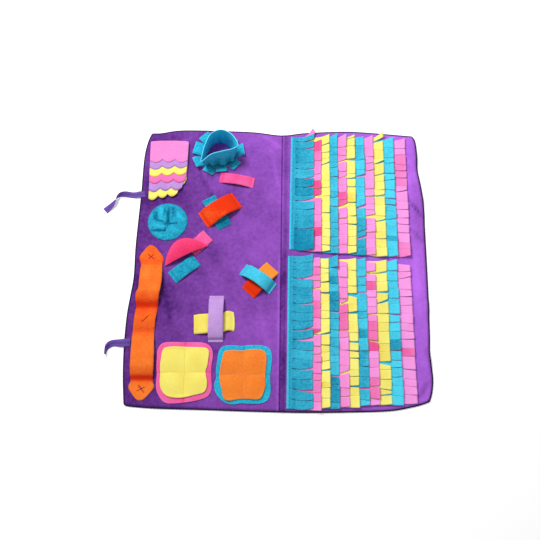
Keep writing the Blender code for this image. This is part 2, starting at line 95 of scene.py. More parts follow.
# Those waves: y at MARGIN_X, slope dy/dx, half width, height
MARGIN_WAVES = [
    (0.385, -0.9, 0.050, 0.0060),
    (0.230, -0.5, 0.040, 0.0030),
    (-0.170, 0.8, 0.040, 0.0040),
    (-0.345, 0.7, 0.045, 0.0055),
]
# Streaks where the mat was creased, painted light and shade along the creases, partly its nap: two ends
# over the mat in millimetres, half width, tone
CREASE_LIGHT_AND_SHADE_STREAKS = [
    ((430, 480), (483, 370), 7, 0.40),
    ((447, 401), (474, 290), 9, 0.28),
    ((463, 232), (515, 158), 9, -0.50),
    ((468, 116), (508, 62), 8, -0.35),
    ((495, 280), (500, 90), 30, -0.22),
    ((478, 60), (470, -200), 20, 0.18),
    ((484, -312), (506, -388), 12, -0.42),
    ((488, -420), (440, -488), 16, -0.34),
    ((488, -486), (500, -470), 12, -0.60),
    ((-60, 490), (10, 440), 14, 0.20),
    ((-330, 480), (-440, 420), 12, 0.18),
    ((-30, 440), (0, 260), 16, 0.14),
    ((-290, 330), (-190, 130), 16, -0.16),
    ((-410, -60), (-370, -230), 14, -0.18),
    ((-80, -120), (-20, -420), 16, 0.10),
]
# Overlocked edging, whose loops are a little larger and smaller by turns
EDGING_WIDTH = 5.0 * MM
EDGING_HEIGHT = 4.2 * MM
EDGING_BEAD = 0.07

# Fringe panels: name, y of the back ends of the first and last strip, y of their front ends,
# x of the first strip at its back and front end
FRINGE_PANELS = [
    ("back", 0.484, 0.470, 0.036, 0.010, 0.045, 0.033),
    ("front", 0.013, -0.010, -0.511, -0.492, 0.029, 0.019),
]
# How far right of the first strip each strip starts, and the colours that they have in turn
FRINGE_OFFSETS = [0.0, 0.027, 0.057, 0.087, 0.119, 0.151, 0.184, 0.218, 0.256, 0.294, 0.339]
FRINGE_COLOURS = ["teal", "pink", "yellow"]
# Across a strip, from its sewn edge: stitches, start of the slits, where the tabs come free, open ends
FRINGE_STITCH = 10 * MM
FRINGE_ROOT = 18 * MM
FRINGE_FREE = 50 * MM
FRINGE_LENGTH = 86 * MM
# How steeply a strip rises from the mat, each leaning on the next, and about how wide a tab is
FRINGE_RISE = 0.080
TAB_WIDTH = 31 * MM
TAB_STEPS = 16
# Slits set one by one in each panel's strips, the rest being spread between them. In millimetres: y over
# the mat, how far the slit's open end stands from its root along +Y, how wide it gapes there.
FRINGE_SLITS = {
    "back": [
        [(465, 8, 8), (435, 6, 7), (405, 1, 0.4), (380, -1, 0.4), (354, -2, 6), (336, 0, 0.3), (313, 6, 8),
         (280, 2, 6), (247, 1, 0.4), (225, 6, 13), (193, 0, 0.3), (169, -2, 0.8), (144, 0, 0.2),
         (118, 1, 6), (91, 2, 1), (63, 3, 0.3)],
        [(460, 20, 12), (240, 2, 15)],
        [(445, 12, 5), (365, 12, 5)],
        [(210, -10, 3)],
        [(375, 12, 9), (310, 12, 5), (195, 12, 15)],
        [(475, 6, 5), (395, -6, 10), (315, -2, 6), (285, -8, 5), (140, -10, 5)],
        [(485, -2, 7), (320, 6, 8), (195, 8, 12), (100, 12, 5), (75, 12, 10)],
        [(245, -4, 5), (165, -2, 17)],
        [(460, 10, 5), (370, 12, 8), (325, 6, 5), (245, 0, 8), (145, 4, 7)],
        [(340, -10, 5), (240, -10, 5), (215, -10, 5)],
        [(260, 6, 5)],
    ],
    "front": [
        [(-11, 2, 0.4), (-37, -2, 0.4), (-67, 2, 13), (-100, -4, 0.8), (-127, -3, 0.8), (-157, 0, 7),
         (-188, -3, 0.3), (-217, -1, 0.3), (-250, 9, 9), (-282, 2, 14), (-314, -7, 1.5), (-347, -5, 0.4),
         (-381, 2, 7), (-414, 0, 2), (-446, -8, 11), (-481, 0, 1)],
        [(-105, 2, 6), (-270, 12, 11)],
        [(-80, -2, 5), (-115, -8, 8), (-265, 4, 7), (-385, 2, 6)],
        [(-180, -8, 5), (-395, -10, 5)],
        [(-165, 12, 10), (-400, 12, 9)],
        [(-120, -10, 15), (-190, 0, 9), (-285, -8, 7), (-315, -8, 5), (-435, -2, 7)],
        [(-115, -4, 5), (-440, -4, 7)],
        [(-45, -4, 15), (-195, 0, 6), (-280, -10, 7)],
        [(-50, 4, 6), (-115, -4, 8), (-160, 12, 9), (-355, -8, 15), (-465, 2, 7)],
        [(-190, -8, 6)],
        [(-70, 8, 3)],
    ],
}
# How far the outer tabs' edges stand from their roots along +Y, strip by strip: back end, front end
FRINGE_ENDS = {
    "back": ([15, 24, 14, 18, 15, 17, 7, 15, 22, 12, 10], [4, -4, 2, -5, -2, 3, -4, 2, -4, 1, 5]),
    "front": ([6, -3, -6, 9, -15, 3, 7, -9, 4, 8, -11], [5, -6, 4, -3, 2, -5, 5, 3, 2, -4, 0]),
}
# Tabs unlike the rest, by panel: strip, the y between which their middles lie, and what is their own
# Their tones are painted light and shade, for how each tab tilts to the light
ODD_TABS = {
    "back": [
        (0, 307, 238, {"tone": 0.12}), (0, 108, 0, {"tone": 0.02, "lift": 6 * MM}),
        (1, 500, 470, {"swing": 16 * MM, "lift": 9 * MM, "roll": 0.2, "tone": 0.6, "reach": -26 * MM,
                       "skew": -5 * MM}),
        (1, 469, 425, {"tone": 0.12}), (1, 290, 240, {"tone": 0.0}), (1, 112, 84, {"tone": -0.05}),
        (4, 246, 205, {"tone": 0.20}), (5, 268, 235, {"tone": 0.45}), (5, 100, 75, {"tone": 0.45}),
        (6, 166, 20, {"tone": 0.30}), (8, 500, 464, {"swing": 6 * MM, "lift": 8 * MM, "roll": 0.2}),
        (8, 92, 70, {"tone": 0.45}), (9, 295, 238, {"tone": 0.95}), (9, 100, 73, {"tone": 0.30}),
        (10, 408, 299, {"tone": 0.60}), (10, 65, 0, {"tone": 0.58, "lift": 5 * MM}),
    ],
    "front": [
        (1, -133, -220, {"tone": 0.35}), (1, -228, -258, {"tone": -0.05}), (2, -410, -442, {"tone": 0.45}),
        (3, 10, -20, {"lift": 6 * MM, "roll": -0.2}), (3, -48, -80, {"tone": 0.20}),
        (3, -130, -190, {"tone": 0.10}), (3, -405, -480, {"tone": 0.15}), (4, -171, -257, {"tone": 0.35}),
        (6, -235, -283, {"tone": 0.25}), (6, -297, -437, {"tone": 0.35}), (7, -84, -119, {"tone": 0.25}),
        (7, -231, -286, {"tone": 0.35}), (7, -295, -325, {"tone": 0.10}), (7, -416, -454, {"tone": 0.40}),
        (8, -300, -358, {"tone": 0.50}), (9, -286, -316, {"tone": 0.20}), (10, -295, -345, {"tone": 0.34}),
    ],
}

# Scalloped flaps, lowest first: colour, length, how far the right side is drawn in at its lower end,
# how much shorter it is there, and tone
SCALLOPS = [
    ("yellow", 0.240, 0.030, 0.020, 0.62),
    ("lilac", 0.207, 0.014, 0.009, 0.34),
    ("pink", 0.174, 0.004, 0.006, 0.36),
    ("yellow", 0.147, 0.002, 0.009, 0.62),
    ("lilac", 0.118, 0.001, 0.007, 0.34),
    ("pink", 0.089, 0.000, 0.000, 0.58),
]
SCALLOP_LEFT = -0.476
SCALLOP_WIDTH = 0.140
SCALLOP_BACK = 0.461
# From one flap up to the next, depth of a scallop, how high the lowest flap's front edge is lifted
SCALLOP_SPACING = 2.1 * MM
SCALLOP_DEPTH = 12 * MM
SCALLOP_LIFT = 9 * MM
SCALLOPS_ACROSS = 3
# How far the seam lies from the flaps' back edge
SCALLOP_SEAM = 8 * MM

# Standing ring, anticlockwise from its drawn-out corner: foot x and y, rim x, y and height over the mat
RING = [
    (-0.270, 0.371, -0.280, 0.350, 0.062),
    (-0.245, 0.368, -0.246, 0.372, 0.074),
    (-0.207, 0.369, -0.206, 0.383, 0.078),
    (-0.174, 0.384, -0.165, 0.394, 0.078),
    (-0.165, 0.410, -0.149, 0.412, 0.078),
    (-0.183, 0.441, -0.174, 0.453, 0.078),
    (-0.211, 0.459, -0.212, 0.470, 0.078),
    (-0.241, 0.456, -0.247, 0.453, 0.078),
    (-0.263, 0.425, -0.266, 0.412, 0.078),
    (-0.270, 0.396, -0.275, 0.378, 0.074),
]
RING_CENTRE = (-0.216, 0.414)
# Puckers round its foot, how far its wall buckles, and the felt strip that carries the tabs outside it
RING_PUCKERS = 11
RING_PUCKER_DEPTH = 2.6 * MM
RING_BUCKLE = 3.0 * MM
RING_BACKING = 10 * MM
# Tabs at the ring's foot: direction in degrees, length, width, height of the tip over the mat
RING_TABS = [
    (12, 0.040, 0.047, 0.012),
    (54, 0.038, 0.042, 0.006),
    (96, 0.034, 0.042, 0.004),
    (133, 0.052, 0.046, 0.010),
    (166, 0.054, 0.052, 0.006),
    (205, 0.042, 0.044, 0.014),
    (240, 0.036, 0.045, 0.005),
    (275, 0.030, 0.043, 0.006),
    (318, 0.032, 0.042, 0.004),
]

# Round pocket, with how far inside its rim it is sewn down, the gathers round that seam, and how far
# its middle is drawn in
POCKET_CENTRE = (-0.399, 0.142)
POCKET_RADIUS = 70.5 * MM
POCKET_HEIGHT = 10.5 * MM
POCKET_SEAM = 4.5 * MM
POCKET_GATHERS = 13
POCKET_GATHER_HEIGHT = 0.9 * MM
POCKET_DIMPLE = 2.5 * MM
POCKET_DIMPLE_RADIUS = 18 * MM
# The slit's middle, and its arms: direction in degrees and length
POCKET_SLIT = (-0.397, 0.131)
POCKET_ARMS = [(2, 29 * MM), (88, 32 * MM), (182, 16 * MM), (272, 13 * MM)]
# Folds of the pocket's cloth: two ends over the mat in millimetres, half width, depth (below 0 a ridge)
POCKET_FOLDS = [
    ((-395, 190), (-397, 134), 9, 5.5),
    ((-409, 198), (-407, 158), 11, 2.4),
    ((-423, 192), (-421, 148), 10, -2.6),
    ((-412, 150), (-404, 170), 6, -1.6),
    ((-446, 184), (-439, 145), 15, 3.2),
    ((-446, 152), (-402, 131), 6, 3.6),
    ((-454, 109), (-406, 104), 8, 5.5),
    ((-408, 104), (-398, 122), 6, 3.4),
    ((-399, 126), (-400, 115), 5, -2.4),
    ((-381, 192), (-375, 160), 13, 3.4),
    ((-385, 160), (-392, 140), 7, 1.6),
    ((-366, 170), (-345, 148), 15, -1.8),
    ((-392, 131), (-362, 133), 6, 3.0),
    ((-444, 126), (-412, 118), 9, -1.8),
    ((-438, 90), (-404, 84), 13, -1.8),
    ((-384, 114), (-352, 100), 16, -2.0),
]

# Half width of the orange strap where it is plain
STRAP_WAIST = 0.0385
# The strap, back to front: y, middle x, half width, height over the mat, tone (0 deep, 1 pale)
# The tones are painted shade in the strap's folds and on slopes that face away from the light, and painted
# light on those facing it
STRAP_SECTIONS = [
    (0.0535, -0.453, 0.0030, 0.000, 0.34),
    (0.049, -0.452, 0.0130, 0.000, 0.34),
    (0.012, -0.449, 0.0415, 0.000, 0.36),
    (0.002, -0.448, 0.0435, 0.000, 0.32),
    (-0.008, -0.447, 0.0395, 0.000, 0.22),
    (-0.018, -0.446, 0.0370, 0.000, 0.42),
    (-0.040, -0.445, 0.0380, 0.009, 0.50),
    (-0.080, -0.444, STRAP_WAIST, 0.017, 0.44),
    (-0.116, -0.445, 0.0370, 0.021, 0.52),
    (-0.122, -0.451, 0.0405, 0.021, 0.46),
    (-0.150, -0.452, 0.0390, 0.015, 0.22),
    (-0.170, -0.452, 0.0365, 0.000, -0.06),
    (-0.178, -0.454, 0.0370, 0.000, 0.20),
    (-0.210, -0.456, 0.0370, 0.008, 0.34),
    (-0.240, -0.458, 0.0360, 0.005, 0.36),
    (-0.256, -0.459, 0.0360, 0.000, 0.24),
    (-0.280, -0.458, 0.0370, 0.009, 0.50),
    (-0.330, -0.455, STRAP_WAIST, 0.019, 0.54),
    (-0.375, -0.454, STRAP_WAIST, 0.020, 0.56),
    (-0.402, -0.455, 0.0375, 0.012, 0.36),
    (-0.414, -0.456, 0.0365, 0.000, -0.30),
    (-0.422, -0.454, 0.0350, 0.000, 0.45),
    (-0.437, -0.455, 0.0430, 0.000, 0.60),
    (-0.447, -0.455, 0.0410, 0.000, 0.60),
    (-0.479, -0.457, 0.0150, 0.000, 0.60),
    (-0.484, -0.457, 0.0060, 0.000, 0.60),
]
# About how far apart the rows of points between these are
STRAP_ROW = 4 * MM
# Where the strap is sewn down: y, middle x, half width
STRAP_SEAMS = [
    (-0.013, -0.446, 0.038), (-0.175, -0.452, 0.036), (-0.256, -0.459, 0.036), (-0.418, -0.455, 0.035),
]
# Slits in the strap: x, y, direction in degrees, length
STRAP_SLITS = [
    (-0.449, 0.010, 50, 0.022),
    (-0.449, 0.010, 142, 0.032),
    (-0.453, -0.212, 46, 0.040),
    (-0.455, -0.447, 26, 0.030),
    (-0.455, -0.447, 127, 0.034),
]

# Pads: colour, and in millimetres the height at which it rests and its outline, clockwise from the left
PADS = {
    "pad_left_under": ("pink", 0.0, [
        (-406, -404), (-409, -376), (-409, -345), (-408, -318), (-394, -297), (-364, -292), (-327, -293),
        (-291, -293), (-262, -294), (-240, -301), (-227, -318), (-224, -342), (-227, -369), (-228, -394),
        (-226, -419), (-225, -450), (-236, -470), (-256, -480), (-297, -489), (-353, -494), (-380, -488),
        (-401, -460), (-407, -433),
    ]),
    "pad_left_upper": ("yellow", 3.0, [
        (-394, -398), (-396, -369), (-394, -348), (-392, -325), (-382, -312), (-355, -308), (-326, -309),
        (-297, -310), (-265, -311), (-246, -313), (-237, -325), (-238, -348), (-241, -373), (-246, -388),
        (-244, -405), (-240, -424), (-241, -444), (-251, -459), (-284, -468), (-305, -473), (-326, -476),
        (-350, -475), (-372, -468), (-388, -450), (-394, -426),
    ]),
    "pad_right_under": ("deep teal", 0.0, [
        (-210, -408), (-212, -386), (-209, -361), (-206, -333), (-199, -314), (-184, -305), (-150, -304),
        (-128, -306), (-102, -303), (-70, -303), (-44, -309), (-30, -326), (-28, -354), (-31, -383),
        (-34, -412), (-32, -440), (-34, -468), (-45, -486), (-66, -494), (-97, -495), (-125, -493),
        (-153, -497), (-176, -493), (-197, -478), (-212, -456), (-216, -432),
    ]),
    "pad_right_upper": ("orange", 3.0, [
        (-199, -398), (-196, -369), (-192, -348), (-185, -325), (-168, -321), (-149, -321), (-127, -322),
        (-102, -318), (-77, -317), (-57, -321), (-47, -334), (-46, -362), (-48, -387), (-50, -412),
        (-49, -437), (-55, -458), (-61, -472), (-74, -481), (-115, -479), (-136, -480), (-158, -484),
        (-175, -484), (-186, -474), (-191, -450), (-198, -423),
    ]),
}
# How high a pad's quarters swell, how far out, half the width of the groove between them, the ruffles
# round its rim, where each pair's seams cross, and how pale each pad is
PAD_PUFF = 4.5 * MM
PAD_SWELL = 60 * MM
PAD_GROOVE = 3.5 * MM
PAD_RUFFLES = 5
PAD_RUFFLE_HEIGHT = 1.8 * MM
PAD_MIDDLES = {"left": (-0.316, -0.393), "right": (-0.122, -0.401)}
PAD_TONES = {"pink": 0.18, "yellow": 0.60, "deep teal": 0.55, "orange": 0.72}

# Strips sewn down at both ends: name, colour, middle of the first and of the last end, width,
# height of the arch, how flat-topped it is (1 a half sine, towards 0 a box), tone of the two ends
# The end tones are painted light and shade: an end that slopes away from the light is painted deep
BANDS = [
    ("band_yellow", "yellow", (-0.291, -0.232), (-0.156, -0.226), 0.066, 0.009, 0.5, 0.50, 0.66),
    ("band_lilac", "lilac", (-0.216, -0.293), (-0.216, -0.132), 0.050, 0.024, 0.5, 0.60, 0.50),
    ("band_right_orange", "orange", (-0.110, -0.122), (-0.024, -0.030), 0.058, 0.014, 0.6, -0.25, 1.1),
    ("band_right_teal", "teal", (-0.024, -0.108), (-0.128, -0.036), 0.045, 0.032, 0.5, 0.75, 0.60),
    ("band_back_teal", "deep teal", (-0.256, 0.235), (-0.194, 0.122), 0.052, 0.005, 0.6, 0.35, 0.10),
    ("band_back_orange", "orange", (-0.273, 0.146), (-0.152, 0.227), 0.068, 0.020, 0.6, 0.10, -0.10),
    ("band_left_teal", "deep teal", (-0.373, -0.068), (-0.290, -0.003), 0.049, 0.006, 0.6, 0.40, 0.30),
    ("band_light_pink", "pink", (-0.314, 0.033), (-0.253, 0.090), 0.052, 0.0, 1.0, 0.02, 0.12),
    ("band_ring_pink", "pink", (-0.217, 0.317), (-0.092, 0.294), 0.040, 0.010, 0.6, 0.05, 0.15),
]
# Length of a band's sewn-down ends, and how ragged its edges and how rippled its arch are
BAND_FOOT = 10 * MM
BAND_RAGGED = 0.5 * MM
BAND_RIPPLE = 0.6 * MM

# Half-moon pocket: the two ends of its straight mouth, depth of the moon, height of the mouth
MOON_LEFT = (-0.400, -0.026)
MOON_RIGHT = (-0.250, 0.050)
MOON_DEPTH = 69 * MM
MOON_HEIGHT = 17 * MM
# It lies over the light pink band until MOON_CLEAR beside it, and comes down to the mat at MOON_LANDS
MOON_CLEAR = 8 * MM
MOON_LANDS = 22 * MM

# Ties, from the sewn end outwards: x, y, height of the middle, width, turn about the tie's run in degrees
TIE_BACK = [
    (-0.486, 0.251, MAT_TOP + 0.0006, 0.024, 0),
    (-0.495, 0.249, MAT_TOP + 0.0014, 0.024, 0),
    (-0.506, 0.249, MAT_TOP + 0.0016, 0.024, 0),
    (-0.518, 0.247, 0.0038, 0.023, 0),
    (-0.536, 0.248, 0.0014, 0.022, 4),
    (-0.556, 0.250, 0.0050, 0.021, 18),
    (-0.572, 0.246, 0.0096, 0.019, 55),
    (-0.584, 0.236, 0.0106, 0.018, 90),
    (-0.592, 0.223, 0.0098, 0.019, 128),
    (-0.602, 0.208, 0.0060, 0.021, 158),
    (-0.614, 0.196, 0.0024, 0.023, 174),
    (-0.626, 0.185, 0.0014, 0.024, 180),
]
TIE_FRONT = [
    (-0.501, -0.294, MAT_TOP + 0.0006, 0.028, 0),
    (-0.513, -0.294, MAT_TOP + 0.0014, 0.028, 0),
    (-0.526, -0.295, MAT_TOP + 0.0016, 0.027, 0),
    (-0.540, -0.295, 0.0030, 0.025, 0),
    (-0.555, -0.295, 0.0016, 0.023, 5),
    (-0.567, -0.299, 0.0050, 0.022, 22),
    (-0.575, -0.308, 0.0086, 0.021, 50),
    (-0.579, -0.319, 0.0104, 0.020, 78),
    (-0.581, -0.334, 0.0106, 0.019, 90),
]
TIE_THICKNESS = 1.2 * MM
# Rows of points from one row of these tables to the next
TIE_ROWS = 6
# The box of stitches that holds a tie, measured back from its sewn end
TIE_BOX_START = 3 * MM
TIE_BOX_END = 17 * MM

STITCH_LENGTH = 3.4 * MM
STITCH_PITCH = 5.0 * MM
STITCH_RADIUS = 0.45 * MM
# Sides of a round thread, and a height above everything, from which a piece's upper side is looked for
THREAD_SIDES = 6
ABOVE_ALL = 0.3

# Softboxes: name, place, width, power in watts
SOFTBOXES = [
    ("key_softbox", (-1.2, 1.5, 2.5), 1.1, 84),
    ("fill_softbox", (0.9, -0.4, 3.0), 2.4, 14),
]
CAMERA_PLACE = (-0.034, -0.683, 1.987)
CAMERA_TILT = 18
CAMERA_LENS = 40


# Materials

def linear(hex_colour):
    """The linear colour of an sRGB hex value."""
    channels = [int(hex_colour[i:i + 2], 16) / 255 for i in (1, 3, 5)]
    return [c / 12.92 if c <= 0.04045 else ((c + 0.055) / 1.055) ** 2.4 for c in channels] + [1.0]


def set_inputs(node, values):
    for name, value in values.items():
        node.inputs[name].default_value = value


def add_node(tree, kind, inputs=None, links=None, **settings):
    """Adds a node: `inputs` sets its sockets, `links` joins them to others, `settings` sets its options."""
    made = tree.nodes.new(kind)
    for name, value in settings.items():
        setattr(made, name, value)
    set_inputs(made, inputs or {})
    for name, source in (links or {}).items():
        tree.links.new(source, made.inputs[name])
    return made


def cloth_material(name, pale, deep, mottle_mm, fibre_mm, fuzz, bump_mm, contrast, roughness=0.92):
    """A matt cloth, `deep` to `pale` by the piece's tone, mottled, its fibres pale at a glancing angle."""
    material = bpy.data.materials.new(name)
    material.use_nodes = True
    tree = material.node_tree
    shader = tree.nodes["Principled BSDF"]
    set_inputs(shader, {"Roughness": roughness, "IOR": 1.5, "Specular IOR Level": 0.15,
                        "Sheen Weight": fuzz, "Sheen Roughness": 0.45})
    place = add_node(tree, "ShaderNodeTexCoord").outputs["Object"]
    tone = add_node(tree, "ShaderNodeAttribute", attribute_name="tone").outputs["Fac"]
    blots = {"Scale": 1 / (mottle_mm * MM), "Detail": 4.0, "Roughness": 0.65}
    strands = {"Scale": 1 / (fibre_mm * MM), "Detail": 2.0, "Distortion": 1.2}
    mottle, fibres = [add_node(tree, "ShaderNodeTexNoise", inputs, {"Vector": place}).outputs["Fac"]
                      for inputs in (blots, strands)]
    both = add_node(tree, "ShaderNodeMath", operation="MULTIPLY_ADD", links={0: fibres, 2: mottle},
                    inputs={1: 0.6}).outputs["Value"]
    uneven = add_node(tree, "ShaderNodeMath", operation="MULTIPLY_ADD", links={0: both},
                      inputs={1: contrast * 1.25, 2: -contrast}).outputs["Value"]
    share = add_node(tree, "ShaderNodeMath", operation="ADD", use_clamp=True,
                     links={0: tone, 1: uneven}).outputs["Value"]
    colour = add_node(tree, "ShaderNodeMix", data_type="RGBA", links={0: share},
                      inputs={6: linear(deep), 7: linear(pale)})
    tree.links.new(colour.outputs[2], shader.inputs["Base Color"])
    bump = add_node(tree, "ShaderNodeBump", links={"Height": both},
                    inputs={"Strength": 0.8, "Distance": bump_mm * MM})
    tree.links.new(bump.outputs["Normal"], shader.inputs["Normal"])
    return material


def needled_felt(name, pale, deep, contrast):
    """Needle-punched polyester felt: dead matt, softly mottled, its loose fibres a little paler."""
    return cloth_material(name, pale, deep, mottle_mm=7, fibre_mm=2.0, fuzz=0.04, bump_mm=0.35,
                          contrast=contrast)


def cut_felt_edge(name, colour):
    """A felt's cut edge, painted paler than its face: a painted highlight where its open fibres catch the
    light.
    """
    return cloth_material(name, colour, colour, mottle_mm=4, fibre_mm=1.0, fuzz=0.1, bump_mm=0.3,
                          contrast=0.0)


def brushed_cloth(name):
    """Brushed polyester: the nap lies both ways, so that broad clouds of it look paler or deeper."""
    return cloth_material(name, "#CA74FC", "#481A6C", mottle_mm=14, fibre_mm=2.4, fuzz=0.05, bump_mm=0.45,
                          contrast=0.30)


def overlock_thread(name):
    """Textured polyester thread, near black, wound over the cloth's edge in slanting loops."""
    return cloth_material(name, "#22103F", "#0B0416", mottle_mm=6, fibre_mm=1.2, fuzz=0.2, bump_mm=0.3,
                          contrast=0.5)


def woven_ribbon(name):
    """Polyester grosgrain, its fine ribs running across it, drawn at 1.6 mm so that they show."""
    return cloth_material(name, "#7C5AB4", "#432878", mottle_mm=12, fibre_mm=1.6, fuzz=0.1, bump_mm=0.3,
                          contrast=0.6, roughness=0.7)


def sewing_thread(name, pale, deep):
    """Spun polyester sewing thread, a little glossier than the cloth it holds."""
    return cloth_material(name, pale, deep, mottle_mm=5, fibre_mm=0.8, fuzz=0.1, bump_mm=0.1, contrast=0.5,
                          roughness=0.55)


# Felt colours: the record's slot, pale and deep colour, how mottled the felt is, colour of its cut edge
FELTS = {
    "teal": ("teal_felt", "#52DCFA", "#0A84AA", 0.8, "#6FDCF2"),
    # The deep teal is the teal felt again, its deeper colours painted shade
    "deep teal": ("teal_felt", "#38D8FA", "#006A8E", 0.9, "#74F0FF"),
    "pink": ("pink_felt", "#FFA2EC", "#F04C8C", 0.35, "#FFB4E2"),
    "hot pink": ("hot_pink_felt", "#FB4C84", "#C81248", 0.6, "#FF7DA6"),
    "yellow": ("yellow_felt", "#FFFA86", "#E8C430", 0.4, "#FFFBC0"),
    "orange": ("orange_felt", "#FF9838", "#E83408", 0.5, "#FFA768"),
    "lilac": ("lilac_felt", "#D4ACEA", "#A878C4", 0.5, "#E2CBF5"),
}
# Sewing threads: pale and deep colour
THREADS = {
    "purple": ("#8B4FC0", "#4A1C77"), "teal": ("#57CFE8", "#1287A5"), "pale": ("#FFD2A0", "#F0A860"),
    "gold": ("#F2D848", "#D8A828"), "dark": ("#3A2050", "#1C0A2C"), "rose": ("#FF8CBC", "#E04880"),
    "rust": ("#F07028", "#B83008"), "lilac": ("#E0C8F4", "#B890DC"),
}
# The thread that sews each felt down; an orange pad has a paler one
THREAD_ON = {"teal": "teal", "deep teal": "teal", "orange": "rust", "lilac": "lilac", "yellow": "gold",
             "pink": "rose"}

felt_faces = {colour: needled_felt(colour.replace(" ", "_") + "_needled_felt", pale, deep, contrast)
              for colour, (_, pale, deep, contrast, _) in FELTS.items()}
felt_edges = {colour: cut_felt_edge(colour.replace(" ", "_") + "_cut_edge", edge)
              for colour, (_, _, _, _, edge) in FELTS.items()}
mat_cloth_material = brushed_cloth("purple_brushed_polyester")
overlock_material = overlock_thread("dark_overlock_thread")
ribbon_material = woven_ribbon("purple_grosgrain")
threads = {colour: sewing_thread(colour + "_sewing_thread", pale, deep)
           for colour, (pale, deep) in THREADS.items()}


# Shapes

def steps(count):
    """Even steps from 0 to 1."""
    return [index / count for index in range(count + 1)]


def both_ways(count):
    """Even steps from -1 to 1."""
    return [2 * share - 1 for share in steps(count)]


def heading(degrees):
    """A level unit vector, anticlockwise from +X."""
    return Vector((math.cos(math.radians(degrees)), math.sin(math.radians(degrees))))


def left_of(direction):
    """The level vector a quarter turn to the left of a direction."""
    return Vector((-direction.y, direction.x))


def smoothstep(low, high, value):
    share = min(max((value - low) / (high - low), 0.0), 1.0)
    return share * share * (3 - 2 * share)


def bump(distance, half_width):
    """1 on a ridge's line, falling smoothly to 0 at half_width."""
    return 0.5 + 0.5 * math.cos(math.pi * min(abs(distance) / half_width, 1.0))


def clouds(x, y, size, seed=0.0):
    """Smooth noise about -1..1 whose blots are `size` across."""
    return noise.noise(Vector((x / size, y / size, SEED + seed)))


def between(before, start, end, after, t):
    """The point at share t from start to end on a smooth curve that also passes the points either side."""
    before, start, end, after = Vector(before), Vector(start), Vector(end), Vector(after)
    return 0.5 * (2 * start + (end - before) * t + (2 * before - 5 * start + 4 * end - after) * t ** 2
                  + (3 * start - before - 3 * end + after) * t ** 3)


def through(points, share):
    """The point at this share of a smooth curve through the points, which are taken as evenly spread."""
    place = min(max(share, 0.0), 1.0) * (len(points) - 1)
    index = min(int(place), len(points) - 2)
    before, after = points[max(index - 1, 0)], points[min(index + 2, len(points) - 1)]
    return between(before, points[index], points[index + 1], after, place - index)


def round_through(points, share):
    """The point at this share of a smooth closed curve through the points."""
    count = len(points)
    place = (share % 1.0) * count
    index = int(place)
    return between(*(points[(index + step) % count] for step in (-1, 0, 1, 2)), place - index)


def evenly_along(points):
    """A function from 0..1 to a point of the curve through the points, even by length."""
    samples = [through(points, share) for share in steps(400)]
    lengths = [0.0]
    for first, second in zip(samples, samples[1:]):
        lengths.append(lengths[-1] + (second - first).length)

    def place(share):
        wanted = share * lengths[-1]
        index = next((i for i in range(1, len(lengths)) if lengths[i] >= wanted), len(lengths) - 1)
        part = (wanted - lengths[index - 1]) / (lengths[index] - lengths[index - 1])
        return samples[index - 1].lerp(samples[index], part)

    return place


class Surface:
    """Points, faces and tones of an open surface, gathered before it is made a piece."""

    def __init__(self):
        self.points, self.faces, self.tones = [], [], []

    def point(self, spot, tone=0.5):
        self.points.append(tuple(spot))
        self.tones.append(tone)
        return len(self.points) - 1

    def quad(self, *corners):
        self.faces.append(corners)

    def grid(self, across, along, place, closed=False):
        """Adds points place(u, v) -> (spot, tone); `closed` joins the last column to the first."""
        columns = [[self.point(*place(u, v)) for v in along] for u in across]
        neighbours = list(zip(columns, columns[1:])) + ([(columns[-1], columns[0])] if closed else [])
        for column, following in neighbours:
            for low in range(len(along) - 1):
                self.quad(column[low], following[low], following[low + 1], column[low + 1])
        return columns

    def disc(self, place, around, radii):
        """Adds a round piece; `place` takes the share of a turn and of the way out."""
        columns = self.grid(steps(around)[:-1], radii, place, closed=True)
        hub = self.point(*place(0.0, 0.0))
        for near, far in zip(columns, columns[1:] + columns[:1]):
            self.quad(hub, far[0], near[0])

    def rod(self, rings):
        """Adds a closed rod through rings of points already in the surface."""
        for near, far in zip(rings, rings[1:]):
            for corner in range(len(near)):
                following = (corner + 1) % len(near)
                self.quad(near[corner], near[following], far[following], far[corner])
        self.quad(*rings[0][::-1])
        self.quad(*rings[-1])


def add_object(name, data):
    made = bpy.data.objects.new(name, data)
    bpy.context.scene.collection.objects.link(made)
    return made


def make_mesh(name, surface, smooth_degrees=40):
    mesh = bpy.data.meshes.new(name)
    mesh.from_pydata(surface.points, [], surface.faces)
    tone = mesh.attributes.new("tone", "FLOAT", "POINT")
    tone.data.foreach_set("value", surface.tones)
    mesh.update()
    mesh.shade_smooth()
    mesh.set_sharp_from_angle(angle=math.radians(smooth_degrees))
    return add_object(name, mesh)


def face_up(piece):
    """Turns an open surface over if most of it looks down."""
    if sum(face.normal.z * face.area for face in piece.data.polygons) < 0:
        piece.data.flip_normals()


def thicken(piece, thickness, offset=1.0):
    solidify = piece.modifiers.new("thickness", "SOLIDIFY")
    solidify.thickness = thickness
    solidify.offset = offset
    solidify.use_even_offset = False
    solidify.material_offset_rim = 1


def sheet_piece(name, surface, slot, faces, edge, flat, held, rests_on, thickness=FELT, offset=1.0,
                area=None):
    """Makes one cut piece of cloth, which stands for the node of its name."""
    piece = make_mesh(name, surface)
    if offset:
        face_up(piece)
    piece.data.materials.append(faces)
    piece.data.materials.append(edge)
    thicken(piece, thickness, offset)
    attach(piece, "root")
    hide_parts(name.replace("_cut", ""))
    return piece


def felt_piece(node, colour, surface, flat, held="laid", **facts):
    """A felt piece sewn on the mat."""
    return sheet_piece(node + "_cut", surface, FELTS[colour][0], felt_faces[colour], felt_edges[colour],
                       flat, held, ["mat_cloth_cut"], **facts)


